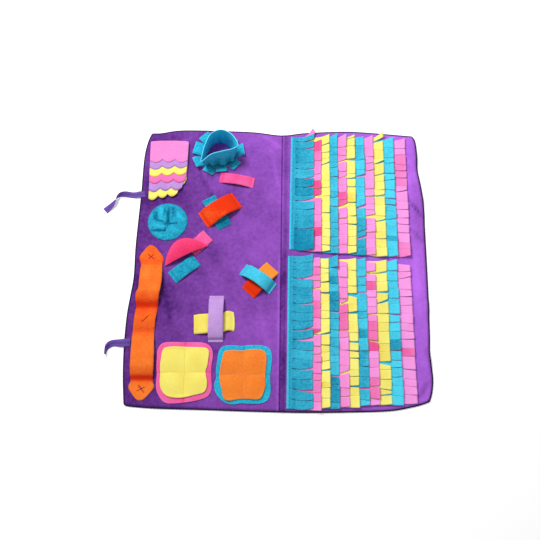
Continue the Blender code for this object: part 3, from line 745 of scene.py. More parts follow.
def surface_under(piece):
    """A function that gives the height of a piece's upper side at x, y, or None beside it."""
    tree = BVHTree.FromObject(piece, bpy.context.evaluated_depsgraph_get())

    def height(x, y):
        spot, _, _, _ = tree.ray_cast(Vector((x, y, ABOVE_ALL)), Vector((0, 0, -1)))
        return spot.z if spot else None

    return height


def sew(name, path, piece, thread):
    """Runs a line of stitches over a piece, each a short thread that dips into the cloth at both ends."""
    height = surface_under(piece)
    surface = Surface()
    for start, end in zip(path, path[1:]):
        start, end = Vector(start), Vector(end)
        run = (end - start).normalized()
        side = left_of(run)
        count = max(int((end - start).length / STITCH_PITCH), 1)
        for number in range(count):
            middle = start.lerp(end, (number + 0.5) / count)
            levels = [height(*(middle + run * STITCH_LENGTH * part)) for part in (-0.5, 0.0, 0.5)]
            if None in levels:
                continue
            rings = []
            for part in (-0.5, -0.3, 0.0, 0.3, 0.5):
                level = levels[1] + (levels[2] - levels[0]) * part
                radius = STITCH_RADIUS * (0.35 if abs(part) == 0.5 else 1.0)
                centre = middle + run * STITCH_LENGTH * part
                arch = level + STITCH_RADIUS * (0.35 - 5.0 * part * part)
                ring = []
                for turn in steps(THREAD_SIDES)[:-1]:
                    angle = math.tau * turn
                    spot = centre + side * radius * math.cos(angle)
                    ring.append(surface.point((spot.x, spot.y, arch + radius * math.sin(angle))))
                rings.append(ring)
            surface.rod(rings)
    stitches = make_mesh(name, surface)
    stitches.data.materials.append(threads[thread])
    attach(stitches, "root")


# The mat

def from_seam(x, y):
    """Distance to the right of the mat's fold seam."""
    return x - SEAM_X - SEAM_LEAN * y


def mat_underside(x, y):
    """Height of the mat's underside: 0, but for a ridge by the fold seam and waves in the right margin."""
    height = SEAM_RIDGE_HEIGHT * bump(from_seam(x, y) - SEAM_RIDGE_OFFSET, SEAM_RIDGE_HALF_WIDTH)
    margin = smoothstep(MARGIN_START, MARGIN_START + MARGIN_RAMP, x)
    for edge_y, slope, half_width, wave in MARGIN_WAVES:
        along_edge = y - edge_y - slope * (x - MARGIN_X)
        height += margin * wave * bump(along_edge, half_width)
    return height


def from_stroke(x, y, start, end):
    """How far a spot of the mat is from a line between two points in millimetres, and where along it."""
    start, run = Vector(start), Vector(end) - Vector(start)
    reached = Vector((x, y)) / MM - start
    share = min(max(reached.dot(run) / run.length_squared, 0.0), 1.0)
    return (reached - run * share).length, share


def mat_tone(x, y):
    """How pale the mat is painted: deep on the left and paler to the right, partly its nap and partly
    painted light, brighter on the right; deepest, a painted shade, just right of the seam.
    """
    side = from_seam(x, y)
    tone = 0.12 + 0.30 * smoothstep(-0.50, -0.02, x) + 0.46 * smoothstep(0.02, 0.50, x)
    tone += 0.14 * smoothstep(0.20, 0.50, y) * smoothstep(-0.30, 0.0, x)
    # The seam's fold is shaded on its right, most on the front half, and catches light along its crest
    front_half = smoothstep(0.06, -0.02, y)
    right_of_seam = smoothstep(-0.003, 0.003, side)
    tone -= 0.28 * right_of_seam * smoothstep(0.026, 0.014, side) * front_half
    tone += 0.20 * bump(side + 0.007, 0.007) * front_half
    tone += 0.12 * bump(side - 0.005, 0.005) * (1 - front_half)
    tone -= 0.16 * right_of_seam * smoothstep(0.030, 0.016, side) * (1 - front_half)
    # The fold line itself is painted dark, a painted shade in the crease
    tone -= 0.45 * bump(side, 0.0035)
    # Streaks of painted light and shade along the mat's creases, partly its nap
    for start, end, half_width, amount in CREASE_LIGHT_AND_SHADE_STREAKS:
        away, share = from_stroke(x, y, start, end)
        away *= 1 + 0.3 * clouds(x, y, 0.02, 4.0)
        tone += amount * bump(away, half_width) * (0.45 + 0.55 * math.sin(math.pi * (0.1 + 0.8 * share)))
    tone += 0.16 * clouds(x, y, 0.16) + 0.11 * clouds(x, y, 0.05, 3.0)
    return min(max(0.86 * tone, 0.0), 1.0)


def mat_outline():
    """A function from (u, v) on the unit square to a point of the mat in plan."""
    edges = FRONT_EDGE, BACK_EDGE, LEFT_EDGE, RIGHT_EDGE
    front, back, left, right = (evenly_along(edge) for edge in edges)
    corners = [Vector(FRONT_EDGE[0]), Vector(FRONT_EDGE[-1]), Vector(BACK_EDGE[0]), Vector(BACK_EDGE[-1])]

    def plan(u, v):
        across = front(u) * (1 - v) + back(u) * v
        along = left(v) * (1 - u) + right(v) * u
        front_line, back_line = corners[0].lerp(corners[1], u), corners[2].lerp(corners[3], u)
        return across + along - front_line.lerp(back_line, v)

    return plan


def make_mat():
    plan = mat_outline()

    def seam_share(v):
        share = 0.5
        for _ in range(5):
            share -= from_seam(*plan(share, v))
        return share

    # Rows and columns of the mat's surface, with finer columns along the seam
    rows = steps(110)
    seam_shares = {v: seam_share(v) for v in rows}
    near_seam = [0.5 + step * 0.0015 for step in range(-8, 16)]
    columns = sorted([u for u in rows if not near_seam[0] <= u <= near_seam[-1]] + near_seam)

    def place(u, v):
        spot = plan(u + (seam_shares[v] - 0.5) * (1 - abs(2 * u - 1)), v)
        wave = MAT_WAVE * clouds(spot.x, spot.y, 0.07, 7.0)
        return (spot.x, spot.y, max(mat_underside(spot.x, spot.y) + wave, 0.0)), mat_tone(*spot)

    surface = Surface()
    surface.grid(columns, rows, place)
    mat = sheet_piece("mat_cloth_cut", surface, "purple_cloth", mat_cloth_material, overlock_material,
                      flat=(1.03, 1.03), area=1.05, held="laid", rests_on=[], thickness=MAT_THICKNESS)
    make_edging(plan)
    ends = [(SEAM_X + SEAM_LEAN * y - SEAM_STITCH_LEFT, y) for y in SEAM_STITCHED]
    sew("mat_seam_stitches", ends, mat, "dark")


def make_edging(plan):
    """The overlocked edge: threads wound over the rim, a bead for each loop."""
    rim = []
    for start, end in (((0, 0), (1, 0)), ((1, 0), (1, 1)), ((1, 1), (0, 1)), ((0, 1), (0, 0))):
        for share in steps(170)[:-1]:
            u = start[0] + (end[0] - start[0]) * share
            v = start[1] + (end[1] - start[1]) * share
            rim.append(plan(u, v))
    count = len(rim)
    angles = [math.tau * share for share in steps(8)[:-1]]
    surface = Surface()

    def place(index, angle):
        before, here, after = rim[index - 1], rim[index], rim[(index + 1) % count]
        run = (after - before).normalized()
        out = -left_of(run)
        bead = 1.0 + EDGING_BEAD * (1 if index % 2 else -1)
        middle = here + out * EDGING_WIDTH * 0.42
        x, y = middle + out * 0.5 * EDGING_WIDTH * bead * math.cos(angle)
        height = EDGING_HEIGHT * (0.5 + 0.5 * bead / (1 + EDGING_BEAD) * math.sin(angle))
        # Each loop is painted paler on top, a painted highlight, and deeper beneath, a painted shade
        return (x, y, mat_underside(here.x, here.y) + height), 0.5 + 0.5 * math.sin(angle)

    surface.grid(range(count), angles + [angles[0]], place, closed=True)
    edging = make_mesh("mat_edging_threads", surface, 80)
    edging.data.materials.append(overlock_material)
    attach(edging, "root")
    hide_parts("mat_edging")


# The fringe

def fringe_surface(slits, own, free_from, rise, chance, tone, hem):
    """A strip along -Y from y = 0, its left edge at x = 0, slit into tabs that point to +X and rise.

    `slits` are rows (root, shift, gape), the strip's own two ends among them; `own` says for each tab
    what sets it apart. `hem` is where the strip starts along +X, and the tone there.
    """
    surface = Surface()
    roots = []
    strip_seed = chance.uniform(0, 90)
    sag = chance.uniform(2.6, 3.4) * MM * (1.5 if free_from == FRINGE_ROOT else 1.0)

    def edge_y(slit, side, share):
        """Where a slit's upper (side 1) or lower (side -1) edge runs."""
        root, shift, gape = slit
        curl = 1.5 * MM * clouds(root / 0.06, strip_seed, 1.0, 2.0) * max((share - 0.6) / 0.4, 0.0) ** 2
        gap = 0.04 * MM + gape / 2 * share ** 1.2
        gap += (1.0 * MM + 0.12 * min(gape, 6 * MM)) * bump(share - 0.08, 0.13)
        return root + shift * share ** 1.6 + curl - sag * math.sin(math.pi * share * 0.92) + side * gap

    # The tabs: seven columns across each, from where its slits start to its open end
    for tab, (upper, lower, odd) in enumerate(zip(slits, slits[1:], own)):
        # A tab's tone differs a little from its neighbours', painted light and shade for how it tilts
        shade = tone + chance.gauss(0.0, 0.05) + 0.16 * clouds(tab * 0.6, strip_seed, 1.0, 3.0)
        shade = odd.get("tone", shade)
        lift = odd.get("lift", chance.uniform(0.0, 1.0) ** 3 * 4 * MM)
        roll = odd.get("roll", chance.gauss(0.0, 0.06))
        swing = odd.get("swing", 0.0)
        cup = chance.uniform(-0.6, 1.2) * MM
        skew = odd.get("skew", chance.uniform(-0.5, 0.5) * MM)
        slit_start = FRINGE_ROOT + chance.uniform(-1.5, 2.0) * MM
        reach = FRINGE_LENGTH + 2.0 * MM * clouds(tab * 0.35, strip_seed, 1.0, 1.0)
        reach += odd.get("reach", chance.uniform(-0.4, 0.4) * MM)
        half = (upper[0] - lower[0]) / 2
        columns = []
        for across in (1.0, 0.8, 0.4, 0.0, -0.4, -0.8, -1.0):
            column = []
            gape = upper[2] if across > 0 else lower[2]
            corner = (0.3 * MM + 0.3 * min(gape, 4 * MM)) * max(abs(across) - 0.8, 0.0) / 0.2
            for share in steps(TAB_STEPS):
                x = slit_start + (reach + skew * across - corner - slit_start) * share
                free = smoothstep(free_from, FRINGE_LENGTH, x)
                high, low = edge_y(upper, -1, share), edge_y(lower, 1, share)
                y = (high + low) / 2 + (high - low) / 2 * across + swing * share
                height = rise * x + lift * free ** 1.5 + cup * (across ** 2 - 0.5) * free + 0.6 * MM * free
                height += (abs(math.sin(roll)) + math.sin(roll) * across) * half * free
                # Painted shade near the roots, under the strip before, and painted light towards the tips
                here = shade + 0.16 * smoothstep(0.80, 1.0, share) - 0.12 * smoothstep(0.3, 0.0, share)
                here += 0.14 * clouds(x / 0.05, upper[0] / 0.04 + across * half / 0.04, 1.0, strip_seed)
                column.append(surface.point((x, y, height), here))
            columns.append(column)
        for near, far in zip(columns, columns[1:]):
            for step in range(TAB_STEPS):
                surface.quad(near[step], far[step], far[step + 1], near[step + 1])
        roots += [column[0] for column in columns]
    # The uncut felt between the hem and the tabs
    start, hem_tone = hem
    lines = []
    for x, shade, height in ((start, hem_tone, 0.9), (start + 0.35 * FRINGE_STITCH, hem_tone, 0.7),
                             (FRINGE_STITCH, tone - 0.2, 0.0),
                             (0.5 * (FRINGE_STITCH + FRINGE_ROOT), tone, 0.0)):
        lines.append([surface.point((x, surface.points[root][1], rise * x + height * MM), shade)
                      for root in roots])
    for index in range(len(roots) - 1):
        for line, following in zip(lines, lines[1:] + [roots]):
            surface.quad(line[index], line[index + 1], following[index + 1], following[index])
    return surface


def spread_slits(chance, set_slits, back, front):
    """One strip's slits from its back end to its front end, as rows of y, shift and gape.

    Those of `set_slits` keep their places, and the others share out what lies between them.
    """
    slits = []
    for y, shift, gape in set_slits + [(front, None, None)]:
        tabs = max(round((back - y) / TAB_WIDTH), 1)
        width = (back - y) / tabs
        for tab in range(1, tabs):
            slits.append((back - width * (tab + chance.uniform(-0.2, 0.2)), chance.uniform(-10, 2) * MM,
                          4 * MM * chance.uniform(0, 1) ** 3))
        if gape is not None:
            slits.append((y, shift, gape))
        back = y
    return slits


def make_fringe():
    last = len(FRINGE_OFFSETS) - 1
    for number, row in enumerate(FRINGE_PANELS):
        panel, back_first, back_last, front_first, front_last, x_back, x_front = row
        lean = math.atan2(x_back - x_front, back_first - front_first)
        cosine, sine = math.cos(-lean), math.sin(-lean)
        for index, offset in enumerate(FRINGE_OFFSETS):
            share = index / last
            back = back_first + (back_last - back_first) * share
            front = front_first + (front_last - front_first) * share
            length = (back - front) / cosine
            back_shift, front_shift = (ends[index] * MM for ends in FRINGE_ENDS[panel])
            chance = random.Random(SEED + 100 * number + index)
            slits = [(0.0, back_shift, 0.0)]
            set_slits = [(y * MM, shift * MM, gape * MM) for y, shift, gape in FRINGE_SLITS[panel][index]]
            slits += [((y - back) / cosine, shift, gape)
                      for y, shift, gape in spread_slits(chance, set_slits, back, front)]
            slits.append((-length, front_shift, 0.0))
            own = []
            for upper, lower in zip(slits, slits[1:]):
                middle = (back + (upper[0] + lower[0]) / 2 * cosine) / MM
                own.append(next((odd for strip, high, low, odd in ODD_TABS[panel]
                                 if strip == index and low < middle < high), {}))
            # Teal and pink strips are painted paler towards the mat's right edge, painted light that falls
            # brighter there
            colour = FRINGE_COLOURS[index % len(FRINGE_COLOURS)]
            tone = {"teal": 0.36 + 0.054 * index, "pink": 0.58 + 0.036 * index, "yellow": 0.78}[colour]
            # The first strip's hem is paler; the others' hems are painted deep, a painted shade under the
            # strips that lie over them
            surface = fringe_surface(slits, own, FRINGE_ROOT if index == 0 else FRINGE_FREE,
                                     FRINGE_RISE if index < last else FRINGE_RISE / 2, chance, tone,
                                     (0.0, tone + 0.3) if index == 0 else (4.5 * MM, -0.3))
            corner_x = x_back + offset + (back - back_first) * math.tan(lean)

            def on_mat(x, y):
                return corner_x + x * cosine - y * sine, back + x * sine + y * cosine

            surface.points = [(*on_mat(x, y), MAT_TOP + z) for x, y, z in surface.points]
            strip = felt_piece(f"fringe_{panel}_{index + 1:02d}_{colour}", colour, surface,
                               flat=(FRINGE_LENGTH, length))
            if index == 0:
                seam = [on_mat(FRINGE_STITCH, y) for y in (-SEAM_INSET, SEAM_INSET - length)]
                sew(f"fringe_{panel}_stitches", seam, strip, "teal")


# The sewn-on pieces

def make_scallops():
    longest = SCALLOPS[0][1]

    def scallop(u):
        """How far the edge stands back from its lowest line, in scallop depths."""
        return 2 - 2 * math.cos(math.radians(60) * (2 * ((u * SCALLOPS_ACROSS) % 1.0) - 1))

    # Even columns, and one close to either side of each scallop's ends
    columns = steps(16 * SCALLOPS_ACROSS)
    columns += [(lobe + part) / SCALLOPS_ACROSS for lobe in range(SCALLOPS_ACROSS) for part in (0.02, 0.98)]
    columns.sort()
    below = bpy.data.objects["mat_cloth_cut"]
    for layer, (colour, length, drawn_in, slant, tone) in enumerate(SCALLOPS):
        level = layer * SCALLOP_SPACING

        def spot_at(u, v):
            depth = SCALLOP_DEPTH * scallop(min(max(u, 0.0005), 0.9995)) + slant * u
            down = v * (length - depth * smoothstep(0.3, 1.0, v))
            lift = SCALLOP_LIFT * (down / longest) ** 2 * (0.5 + 0.5 * u)
            left = SCALLOP_LEFT + 0.004 * down / longest
            width = SCALLOP_WIDTH - 0.008 * down / longest - drawn_in * smoothstep(0.66, 1.0, v)
            droop = 1.4 * MM * math.sin(math.pi * ((u * SCALLOPS_ACROSS) % 1.0)) * smoothstep(0.7, 1.0, v)
            ripple = 0.4 * MM * math.sin(6 * u + layer) * v
            back = SCALLOP_BACK + 5 * MM * (math.sin(math.pi * u) ** 0.4 - 0.7)
            height = level + lift + ripple + 0.5 * MM - 0.35 * droop
            return (left + u * width, back - down, MAT_TOP + height)

        def place(u, v):
            # Mottled, and painted deeper along the scalloped edge: a painted shade where it droops
            uneven = 0.10 * clouds(u * 0.14, v * 0.2, 0.04, layer) - 0.16 * smoothstep(0.93, 1.0, v)
            return spot_at(u, v), tone + uneven

        surface = Surface()
        surface.grid(columns, steps(20), place)
        flap = felt_piece(f"scallop_{layer + 1}_{colour}", colour, surface, flat=(SCALLOP_WIDTH, length),
                          thickness=THIN_FELT)
        for lobe in range(1, SCALLOPS_ACROSS):
            # A short dark thread at each cusp, a dark mark standing for the shade in the notch there
            x, y, _ = spot_at(lobe / SCALLOPS_ACROSS, 1.0)
            notch_shade_thread = [(x - 2 * MM, y - 1.2 * MM), (x + 2 * MM, y - 1.2 * MM)]
            sew(f"scallop_{layer + 1}_cusp_shade_{lobe}", notch_shade_thread, below, "dark")
        below = flap
    back = SCALLOP_BACK - SCALLOP_SEAM
    right = SCALLOP_LEFT + SCALLOP_WIDTH - SEAM_INSET
    sew("scallop_stitches", [(SCALLOP_LEFT + SEAM_INSET, back), (right, back)], below, "rose")


def make_ring():
    foot = [(foot_x, foot_y, 0.0) for foot_x, foot_y, _, _, _ in RING]
    rim = [(rim_x, rim_y, height) for _, _, rim_x, rim_y, height in RING]

    def place(share, level):
        spot = round_through(foot, share).lerp(round_through(rim, share), level)
        centre = Vector((*RING_CENTRE, spot.z))
        out = (spot - centre).normalized()
        pucker = math.sin(share * math.tau * RING_PUCKERS + 2.5 * clouds(share * 5, 0.0, 1.0, 13.0))
        buckle = RING_BUCKLE * clouds(share * 7, level * 1.6, 0.9, 2.0) * bump(level - 0.42, 0.42)
        spot += out * (RING_PUCKER_DEPTH * pucker * (1 - level) ** 1.5 + buckle)
        # Painted shade deepens the wall towards its foot and in the puckers' hollows, painted light paler
        # towards the rim and on their crests
        tone = 0.50 + 0.50 * level ** 1.2 + 0.20 * clouds(share * 9, level * 2, 1.0, 6.0)
        tone += 0.30 * pucker * (1 - level) ** 2
        return (spot.x, spot.y, MAT_TOP + spot.z), tone

    surface = Surface()
    surface.grid(steps(168)[:-1], steps(20), place, closed=True)
    felt_piece("ring_wall", "deep teal", surface, flat=(0.40, 0.078), held="stretched",
               thickness=FELT * 1.5, offset=0.0)
    make_ring_fringe([round_through(foot, share).xy for share in steps(72)[:-1]])


def make_ring_fringe(foot):
    """The tabs round the ring's foot, cut from one narrow strip that lies on the mat outside the wall."""
    centre = Vector(RING_CENTRE)
    clearance = 0.2 * FELT
    count = len(foot)
    outward = []
    for index in range(count):
        along = foot[(index + 1) % count] - foot[index - 1]
        outward.append(-left_of(along).normalized())
    surface = Surface()
    rims = []
    # The strip by the wall is painted deep, a painted shade at the ring's foot
    for reach in (clearance, clearance + RING_BACKING):
        spots = [spot + out * reach for spot, out in zip(foot, outward)]
        rims.append([surface.point((spot.x, spot.y, MAT_TOP), 0.15) for spot in spots])
    inside, outside = rims
    for index in range(count):
        following = (index + 1) % count
        surface.quad(inside[index], outside[index], outside[following], inside[following])
    outside_spots = [Vector(surface.points[index][:2]) for index in outside]
    for number, (direction, length, width, tip) in enumerate(RING_TABS):
        out = heading(direction)
        side = left_of(out)
        nearest = max(range(count), key=lambda i: (outside_spots[i] - centre).normalized().dot(out))
        previous = [outside[(nearest + step) % count] for step in (-2, -1, 0, 1, 2)]
        middle = (outside_spots[(nearest - 2) % count] + outside_spots[(nearest + 2) % count]) / 2
        length -= RING_BACKING
        for share in steps(9)[1:]:
            curl = tip * (math.sin(math.pi * share * 0.55) if number % 2 else share ** 2)
            rung = []
            for across in (-1.0, -0.5, 0.0, 0.5, 1.0):
                spot = middle + out * length * share + side * width / 2 * across * (1.0 - 0.05 * share)
                cup = 2.0 * MM * across ** 2 * share * (1 if number % 3 else -0.2) + FELT * 0.5 * share
                # Painted shade near the wall, paler towards the tips
                tone = 0.34 + 0.30 * share + 0.2 * clouds(spot.x, spot.y, 0.02, 15.0)
                rung.append(surface.point((spot.x, spot.y, MAT_TOP + curl + cup), tone))
            for near in range(4):
                surface.quad(previous[near], rung[near], rung[near + 1], previous[near + 1])
            previous = rung
    felt_piece("ring_fringe", "deep teal", surface, flat=(0.40, 0.055), area=0.0205)


def cut_slits(piece, slits, height, width=1.6 * MM, depth=30 * MM):
    """Cuts pointed slits, each x, y, direction in degrees and length, right through a piece."""
    surface = Surface()
    for x, y, degrees, length in slits:
        run = heading(degrees).to_3d()
        side = left_of(run).to_3d()
        middle = Vector((x, y, height))
        ring = [middle - run * length / 2, middle - side * width / 2, middle + run * length / 2,
                middle + side * width / 2]
        surface.rod([[surface.point(spot + Vector((0, 0, up))) for spot in ring]
                     for up in (-depth / 2, depth / 2)])
    blades = make_mesh(piece.name + "_blades", surface)
    cut = piece.modifiers.new("slits", "BOOLEAN")
    cut.operation = "DIFFERENCE"
    cut.object = blades
    cut.use_self = True
    apply_modifiers(piece)
    bpy.data.objects.remove(blades)


def apply_modifiers(piece):
    depsgraph = bpy.context.evaluated_depsgraph_get()
    made = bpy.data.meshes.new_from_object(piece.evaluated_get(depsgraph))
    piece.modifiers.clear()
    piece.data = made


def make_round_pocket():
    centre = Vector(POCKET_CENTRE)

    def place(share, radius):
        angle = math.tau * share
        wobble = 1 + 0.008 * math.sin(3 * angle + 1.0)
        spot = centre + heading(360 * share) * POCKET_RADIUS * radius * wobble
        drawn_in = 0.0
        for start, end, half_width, depth in POCKET_FOLDS:
            away, along = from_stroke(spot.x, spot.y, start, end)
            away *= 1 + 0.25 * clouds(spot.x, spot.y, 0.02, 17.0)
            drawn_in += depth * MM * bump(away, half_width) * (0.55 + 0.45 * math.sin(math.pi * along))
        drawn_in += POCKET_DIMPLE * bump((spot - Vector(POCKET_SLIT)).length, POCKET_DIMPLE_RADIUS)
        height = POCKET_HEIGHT * (1 - radius ** 3.2) * (0.85 + 0.15 * radius) - drawn_in * (1 - radius ** 5)
        gather = math.sin(POCKET_GATHERS * angle + 2 * math.sin(3 * angle))
        height += POCKET_GATHER_HEIGHT * gather * bump(radius - 0.90, 0.13)
        # Painted shade in the folds and the dimple, painted light along the ridges, and painted shade round
        # the steep rim
        tone = 0.38 - 105 * drawn_in - 0.20 * smoothstep(0.93, 1.0, radius)
        tone += 0.10 * clouds(spot.x, spot.y, 0.035, 16.0)
        return (spot.x, spot.y, MAT_TOP + max(height, 0.1 * MM)), tone

    surface = Surface()
    surface.disc(place, 180, [0.02 + 0.98 * share for share in steps(44)])
    pocket = felt_piece("round_pocket", "deep teal", surface, flat=(2 * POCKET_RADIUS, 2 * POCKET_RADIUS),
                        area=math.pi * POCKET_RADIUS ** 2, held="stretched")
    arms = []
    for degrees, length in POCKET_ARMS:
        middle = Vector(POCKET_SLIT) + heading(degrees) * length / 2
        arms.append((middle.x, middle.y, degrees, length))
    cut_slits(pocket, arms, MAT_TOP + POCKET_HEIGHT / 2)
    circle = [centre + (POCKET_RADIUS - POCKET_SEAM) * heading(360 * share) for share in steps(50)]
    sew("round_pocket_stitches", circle, pocket, "teal")


def make_strap():
    rows = []
    for first, second in zip(STRAP_SECTIONS, STRAP_SECTIONS[1:]):
        fine = max(round(abs(second[0] - first[0]) / STRAP_ROW), 1)
        rows += [tuple(a + (b - a) * step / fine for a, b in zip(first, second)) for step in range(fine)]
    rows.append(STRAP_SECTIONS[-1])
    # Softens the kinks where one section meets the next
    for _ in range(3):
        softer = [tuple((a + 2 * b + c) / 4 for a, b, c in zip(*three))
                  for three in zip(rows, rows[1:], rows[2:])]
        rows = [rows[0]] + softer + [rows[-1]]

    def place(across, index):
        y, x, half_width, risen_to, tone = rows[index]
        edge = 1.0 * MM * clouds(across * 3, y, 0.03, 5.0) + 0.8 * MM * clouds(across * 3, y, 0.009, 5.5)
        risen = smoothstep(0.002, 0.010, risen_to)
        sag = 1.2 * MM * clouds(x + across * 0.03, y, 0.03, 6.0) * risen
        roll = 1.6 * MM * across * clouds(y, 0.0, 0.06, 7.0) * risen
        before, after = rows[max(index - 1, 0)][3], rows[min(index + 1, len(rows) - 1)][3]
        # Mottled, and painted shade where the strap falls towards the front, away from the light
        tone += 0.14 * clouds(across * 0.05, y, 0.04, 4.0) - 20 * max(before - after, 0.0)
        return (x + across * half_width + edge, y, MAT_TOP + risen_to + max(sag + roll, -0.4 * MM)), tone

    surface = Surface()
    surface.grid(both_ways(14), range(len(rows)), place)
    strap = felt_piece("orange_strap", "orange", surface, flat=(0.087, 0.56), area=0.042)
    cut_slits(strap, STRAP_SLITS, MAT_TOP + 5 * MM, width=2.3 * MM)
    for number, (y, x, half_width) in enumerate(STRAP_SEAMS):
        reach = half_width - SEAM_INSET
        sew(f"strap_stitches_{number + 1}", [(x - reach, y), (x + reach, y)], strap, "rust")


def pad_height(pair, x, y):
    """Height to which the quarters of a pair of pads swell between their crossed seams."""
    right, back = x - PAD_MIDDLES[pair][0], y - PAD_MIDDLES[pair][1]
    quarter = abs(math.sin(2 * math.atan2(back, right))) ** 0.7
    swell = PAD_PUFF * quarter * bump(math.hypot(right, back) - PAD_SWELL, PAD_SWELL)
    groove = max(bump(right, PAD_GROOVE), bump(back, PAD_GROOVE))
    return swell * (1 - 0.5 * groove)


def make_pads():
    for name, (colour, rest, outline) in PADS.items():
        pair = name.split("_")[1]
        rim = [(x * MM, y * MM) for x, y in outline]
        middle = Vector((sum(x for x, _ in rim), sum(y for _, y in rim))) / len(rim)
        seams = Vector(PAD_MIDDLES[pair])

        def place(share, radius):
            spot = middle.lerp(round_through(rim, share), radius)
            # The ruffles are slight on the pad that lies under the other
            upper = 1.0 if rest else 0.15
            ruffle = 0.5 + 0.5 * math.sin(share * math.tau * PAD_RUFFLES + rim[0][0] * 60)
            lift = PAD_RUFFLE_HEIGHT * smoothstep(0.86, 1.0, radius) * ruffle * upper
            right, back = spot.x - seams.x, spot.y - seams.y
            # Painted shade in the grooves of the crossed seams and a painted highlight along the rim,
            # mottled between
            tone = PAD_TONES[colour] - 0.30 * max(bump(right, 1.6 * MM), bump(back, 1.6 * MM))
            tone += 0.14 * clouds(spot.x, spot.y, 0.05, 8.0) + 0.25 * smoothstep(0.97, 1.0, radius)
            return (spot.x, spot.y, MAT_TOP + rest * MM + pad_height(pair, spot.x, spot.y) + lift), tone

        surface = Surface()
        surface.disc(place, 168, [0.04 + 0.96 * share ** 0.9 for share in steps(44)])
        left, right = min(x for x, _ in rim), max(x for x, _ in rim)
        front, back = min(y for _, y in rim), max(y for _, y in rim)
        width, depth = right - left, back - front
        pad = felt_piece(name, colour, surface, flat=(width, depth), area=0.92 * width * depth)
        thread = "pale" if colour == "orange" else THREAD_ON[colour]
        across = [(left + SEAM_INSET, seams.y), (right - SEAM_INSET, seams.y)]
        along = [(seams.x, back - SEAM_INSET), (seams.x, front + SEAM_INSET)]
        sew(name + "_cross_stitches_across", across, pad, thread)
        sew(name + "_cross_stitches_along", along, pad, thread)


def make_bands():
    for name, colour, first, last, width, arch, squareness, first_tone, last_tone in BANDS:
        start, end = Vector(first), Vector(last)
        run = (end - start).normalized()
        side = left_of(run) * width / 2
        length = (end - start).length
        foot = BAND_FOOT / length

        def place(across, share):
            spot = start.lerp(end, share) + side * across * (1 + 0.02 * math.sin(9 * share))
            # The yellow strip spreads towards its last end, which bows outwards
            if name == "band_yellow":
                spot += side * (0.22 * bump(share - 0.88, 0.22))
                spot += run * 3 * MM * (1 - across ** 2) * share ** 4
            spot += BAND_RAGGED * Vector([clouds(spot.x, spot.y, 0.012, seed) for seed in (18.0, 19.0)])
            inner = min(max((share - foot) / (1 - 2 * foot), 0.0), 1.0)
            height = arch * max(math.sin(math.pi * inner), 0.0) ** squareness
            ripple = BAND_RIPPLE * clouds(spot.x, spot.y, 0.02, 9.0) * smoothstep(0.0, 0.004, height)
            # From one end's tone to the other's, mottled, and painted shade by the first sewn foot
            tone = first_tone + (last_tone - first_tone) * smoothstep(0.1, 0.9, share)
            tone += 0.15 * clouds(spot.x, spot.y, 0.03, 10.0) - 0.12 * bump(share - foot, foot)
            return (spot.x, spot.y, MAT_TOP + height + max(ripple, -0.3 * MM)), tone

        surface = Surface()
        surface.grid(both_ways(10), steps(48), place)
        band = felt_piece(name, colour, surface, flat=(width, length * 1.08))
        for number, share in ((1, foot * 0.45), (2, 1 - foot * 0.45)):
            middle = start.lerp(end, share)
            seam = [middle - side * 0.92, middle + side * 0.92]
            sew(f"{name}_stitches_{number}", seam, band, THREAD_ON[colour])


def make_half_moon():
    left, right = Vector(MOON_LEFT), Vector(MOON_RIGHT)
    chord = right - left
    back = left_of(chord).normalized()
    first, last, band_width = next(row for row in BANDS if row[0] == "band_light_pink")[2:5]
    band_start = Vector(first)
    band_run = (Vector(last) - band_start).normalized()
    band_side = left_of(band_run)

    def plan(share, v):
        return left + chord * share + back * MOON_DEPTH * 4 * share * (1 - share) * (1 - v)

    def place(u, v):
        share = 0.5 - 0.5 * math.cos(math.pi * u)
        spot = plan(share, v)
        height = MOON_HEIGHT * math.sin(math.pi * share) ** 0.8 * v ** 0.7
        height += 0.8 * MM * clouds(spot.x, spot.y, 0.03, 20.0) * bump(v - 0.5, 0.5)
        past_band = abs((spot - band_start).dot(band_side)) - band_width / 2
        over_band = (FELT + 2 * GAP) * (1 - smoothstep(MOON_CLEAR, MOON_LANDS, past_band))
        # Deeper towards the raised mouth: painted shade on the side that faces away from the light
        tone = 0.74 - 0.45 * v + 0.18 * clouds(spot.x, spot.y, 0.04, 12.0)
        return (spot.x, spot.y, MAT_TOP + max(height, over_band)), tone

    surface = Surface()
    surface.grid([0.02 + 0.96 * share for share in steps(60)], steps(24), place)
    moon = felt_piece("half_round_pocket", "hot pink", surface, flat=(0.168, 0.069), area=0.0078)
    arc = [plan(0.04 + 0.92 * share, 0.09) for share in steps(24)]
    sew("half_round_pocket_stitches", arc, moon, "rose")


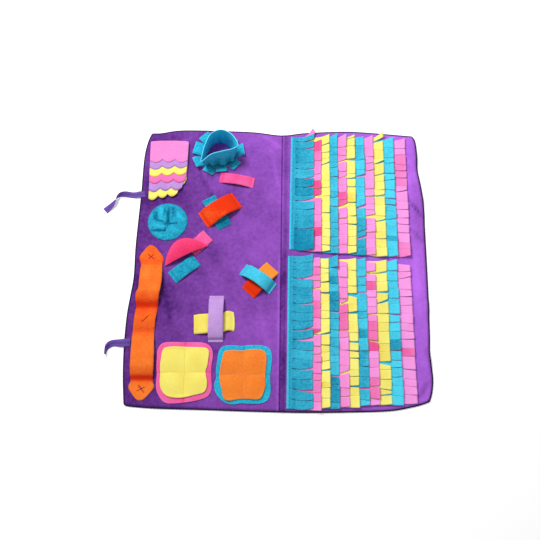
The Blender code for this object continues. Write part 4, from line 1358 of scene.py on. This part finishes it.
def make_tie(name, table):
    def fine(index):
        """A row of the tie between two of its table's rows, on a smooth curve through them."""
        place = index / TIE_ROWS
        low = min(int(place), len(table) - 2)
        before, after = table[max(low - 1, 0)], table[min(low + 2, len(table) - 1)]
        values = []
        for column in range(5):
            points = [(row[column], 0.0) for row in (before, table[low], table[low + 1], after)]
            values.append(between(*points, place - low).x)
        return values

    rows = [fine(index) for index in range(TIE_ROWS * (len(table) - 1) + 1)]
    spots = [Vector(row[:3]) for row in rows]

    def place(across, index):
        before, after = spots[max(index - 1, 0)], spots[min(index + 1, len(rows) - 1)]
        run = (after - before).normalized()
        side = run.cross(Vector((0, 0, 1))).normalized()
        lift = side.cross(run)
        turn = math.radians(rows[index][4])
        spot = spots[index] + (side * math.cos(turn) + lift * math.sin(turn)) * across * rows[index][3] / 2
        return spot, 0.5 - 0.3 * bump(across, 0.25) + 0.2 * abs(across)

    length = sum((b - a).length for a, b in zip(spots, spots[1:]))
    surface = Surface()
    surface.grid(both_ways(6), range(len(rows)), place)
    tie = sheet_piece(name + "_cut", surface, "purple_ribbon", ribbon_material, ribbon_material,
                      flat=(0.023, length), held="laid", rests_on=["mat_cloth_cut"],
                      thickness=TIE_THICKNESS, offset=0.0)
    root = spots[0]
    half_width = table[0][3] / 2 - TIE_BOX_START
    right, left = root.x - TIE_BOX_START, root.x - TIE_BOX_END
    front, back = root.y - half_width, root.y + half_width
    box = [(right, front), (right, back), (left, back), (left, front), (right, front)]
    sew(name + "_stitches", box, tie, "purple")


# The stage

def make_stage():
    floor_surface = Surface()
    floor_surface.grid([-4.0, 4.0], [-4.0, 4.0], lambda x, y: ((x, y, -0.5 * MM), 0.5))
    floor = make_mesh("floor", floor_surface)
    face_up(floor)
    paper = bpy.data.materials.new("white_backdrop_paper")
    paper.use_nodes = True
    set_inputs(paper.node_tree.nodes["Principled BSDF"],
               {"Base Color": linear("#FBFBFB"), "Roughness": 0.9, "Emission Color": (1, 1, 1, 1),
                "Emission Strength": 0.25})
    floor.data.materials.append(paper)


def add_softbox(name, place, size, power):
    """A round softbox that faces the middle of the mat."""
    light = bpy.data.lights.new(name, "AREA")
    light.shape = "DISK"
    light.size = size
    light.energy = power
    lamp = add_object(name, light)
    lamp.location = place
    lamp.rotation_euler = (-Vector(place)).to_track_quat("-Z", "Y").to_euler()


def make_lights():
    for softbox in SOFTBOXES:
        add_softbox(*softbox)
    world = bpy.data.worlds.new("studio")
    world.use_nodes = True
    set_inputs(world.node_tree.nodes["Background"], {"Color": (1, 1, 1, 1), "Strength": 0.30})
    bpy.context.scene.world = world
    bpy.context.scene.view_settings.view_transform = "Standard"


def make_camera():
    lens = bpy.data.cameras.new("camera")
    lens.lens = CAMERA_LENS
    lens.sensor_width = 36
    camera = add_object("camera", lens)
    camera.location = CAMERA_PLACE
    camera.rotation_euler = (math.radians(CAMERA_TILT), 0, 0)
    bpy.context.scene.camera = camera


make_camera()
make_stage()
make_lights()
make_mat()
make_fringe()
make_scallops()
make_ring()
make_round_pocket()
make_strap()
make_pads()
make_bands()
make_half_moon()
make_tie("tie_back", TIE_BACK)
make_tie("tie_front", TIE_FRONT)
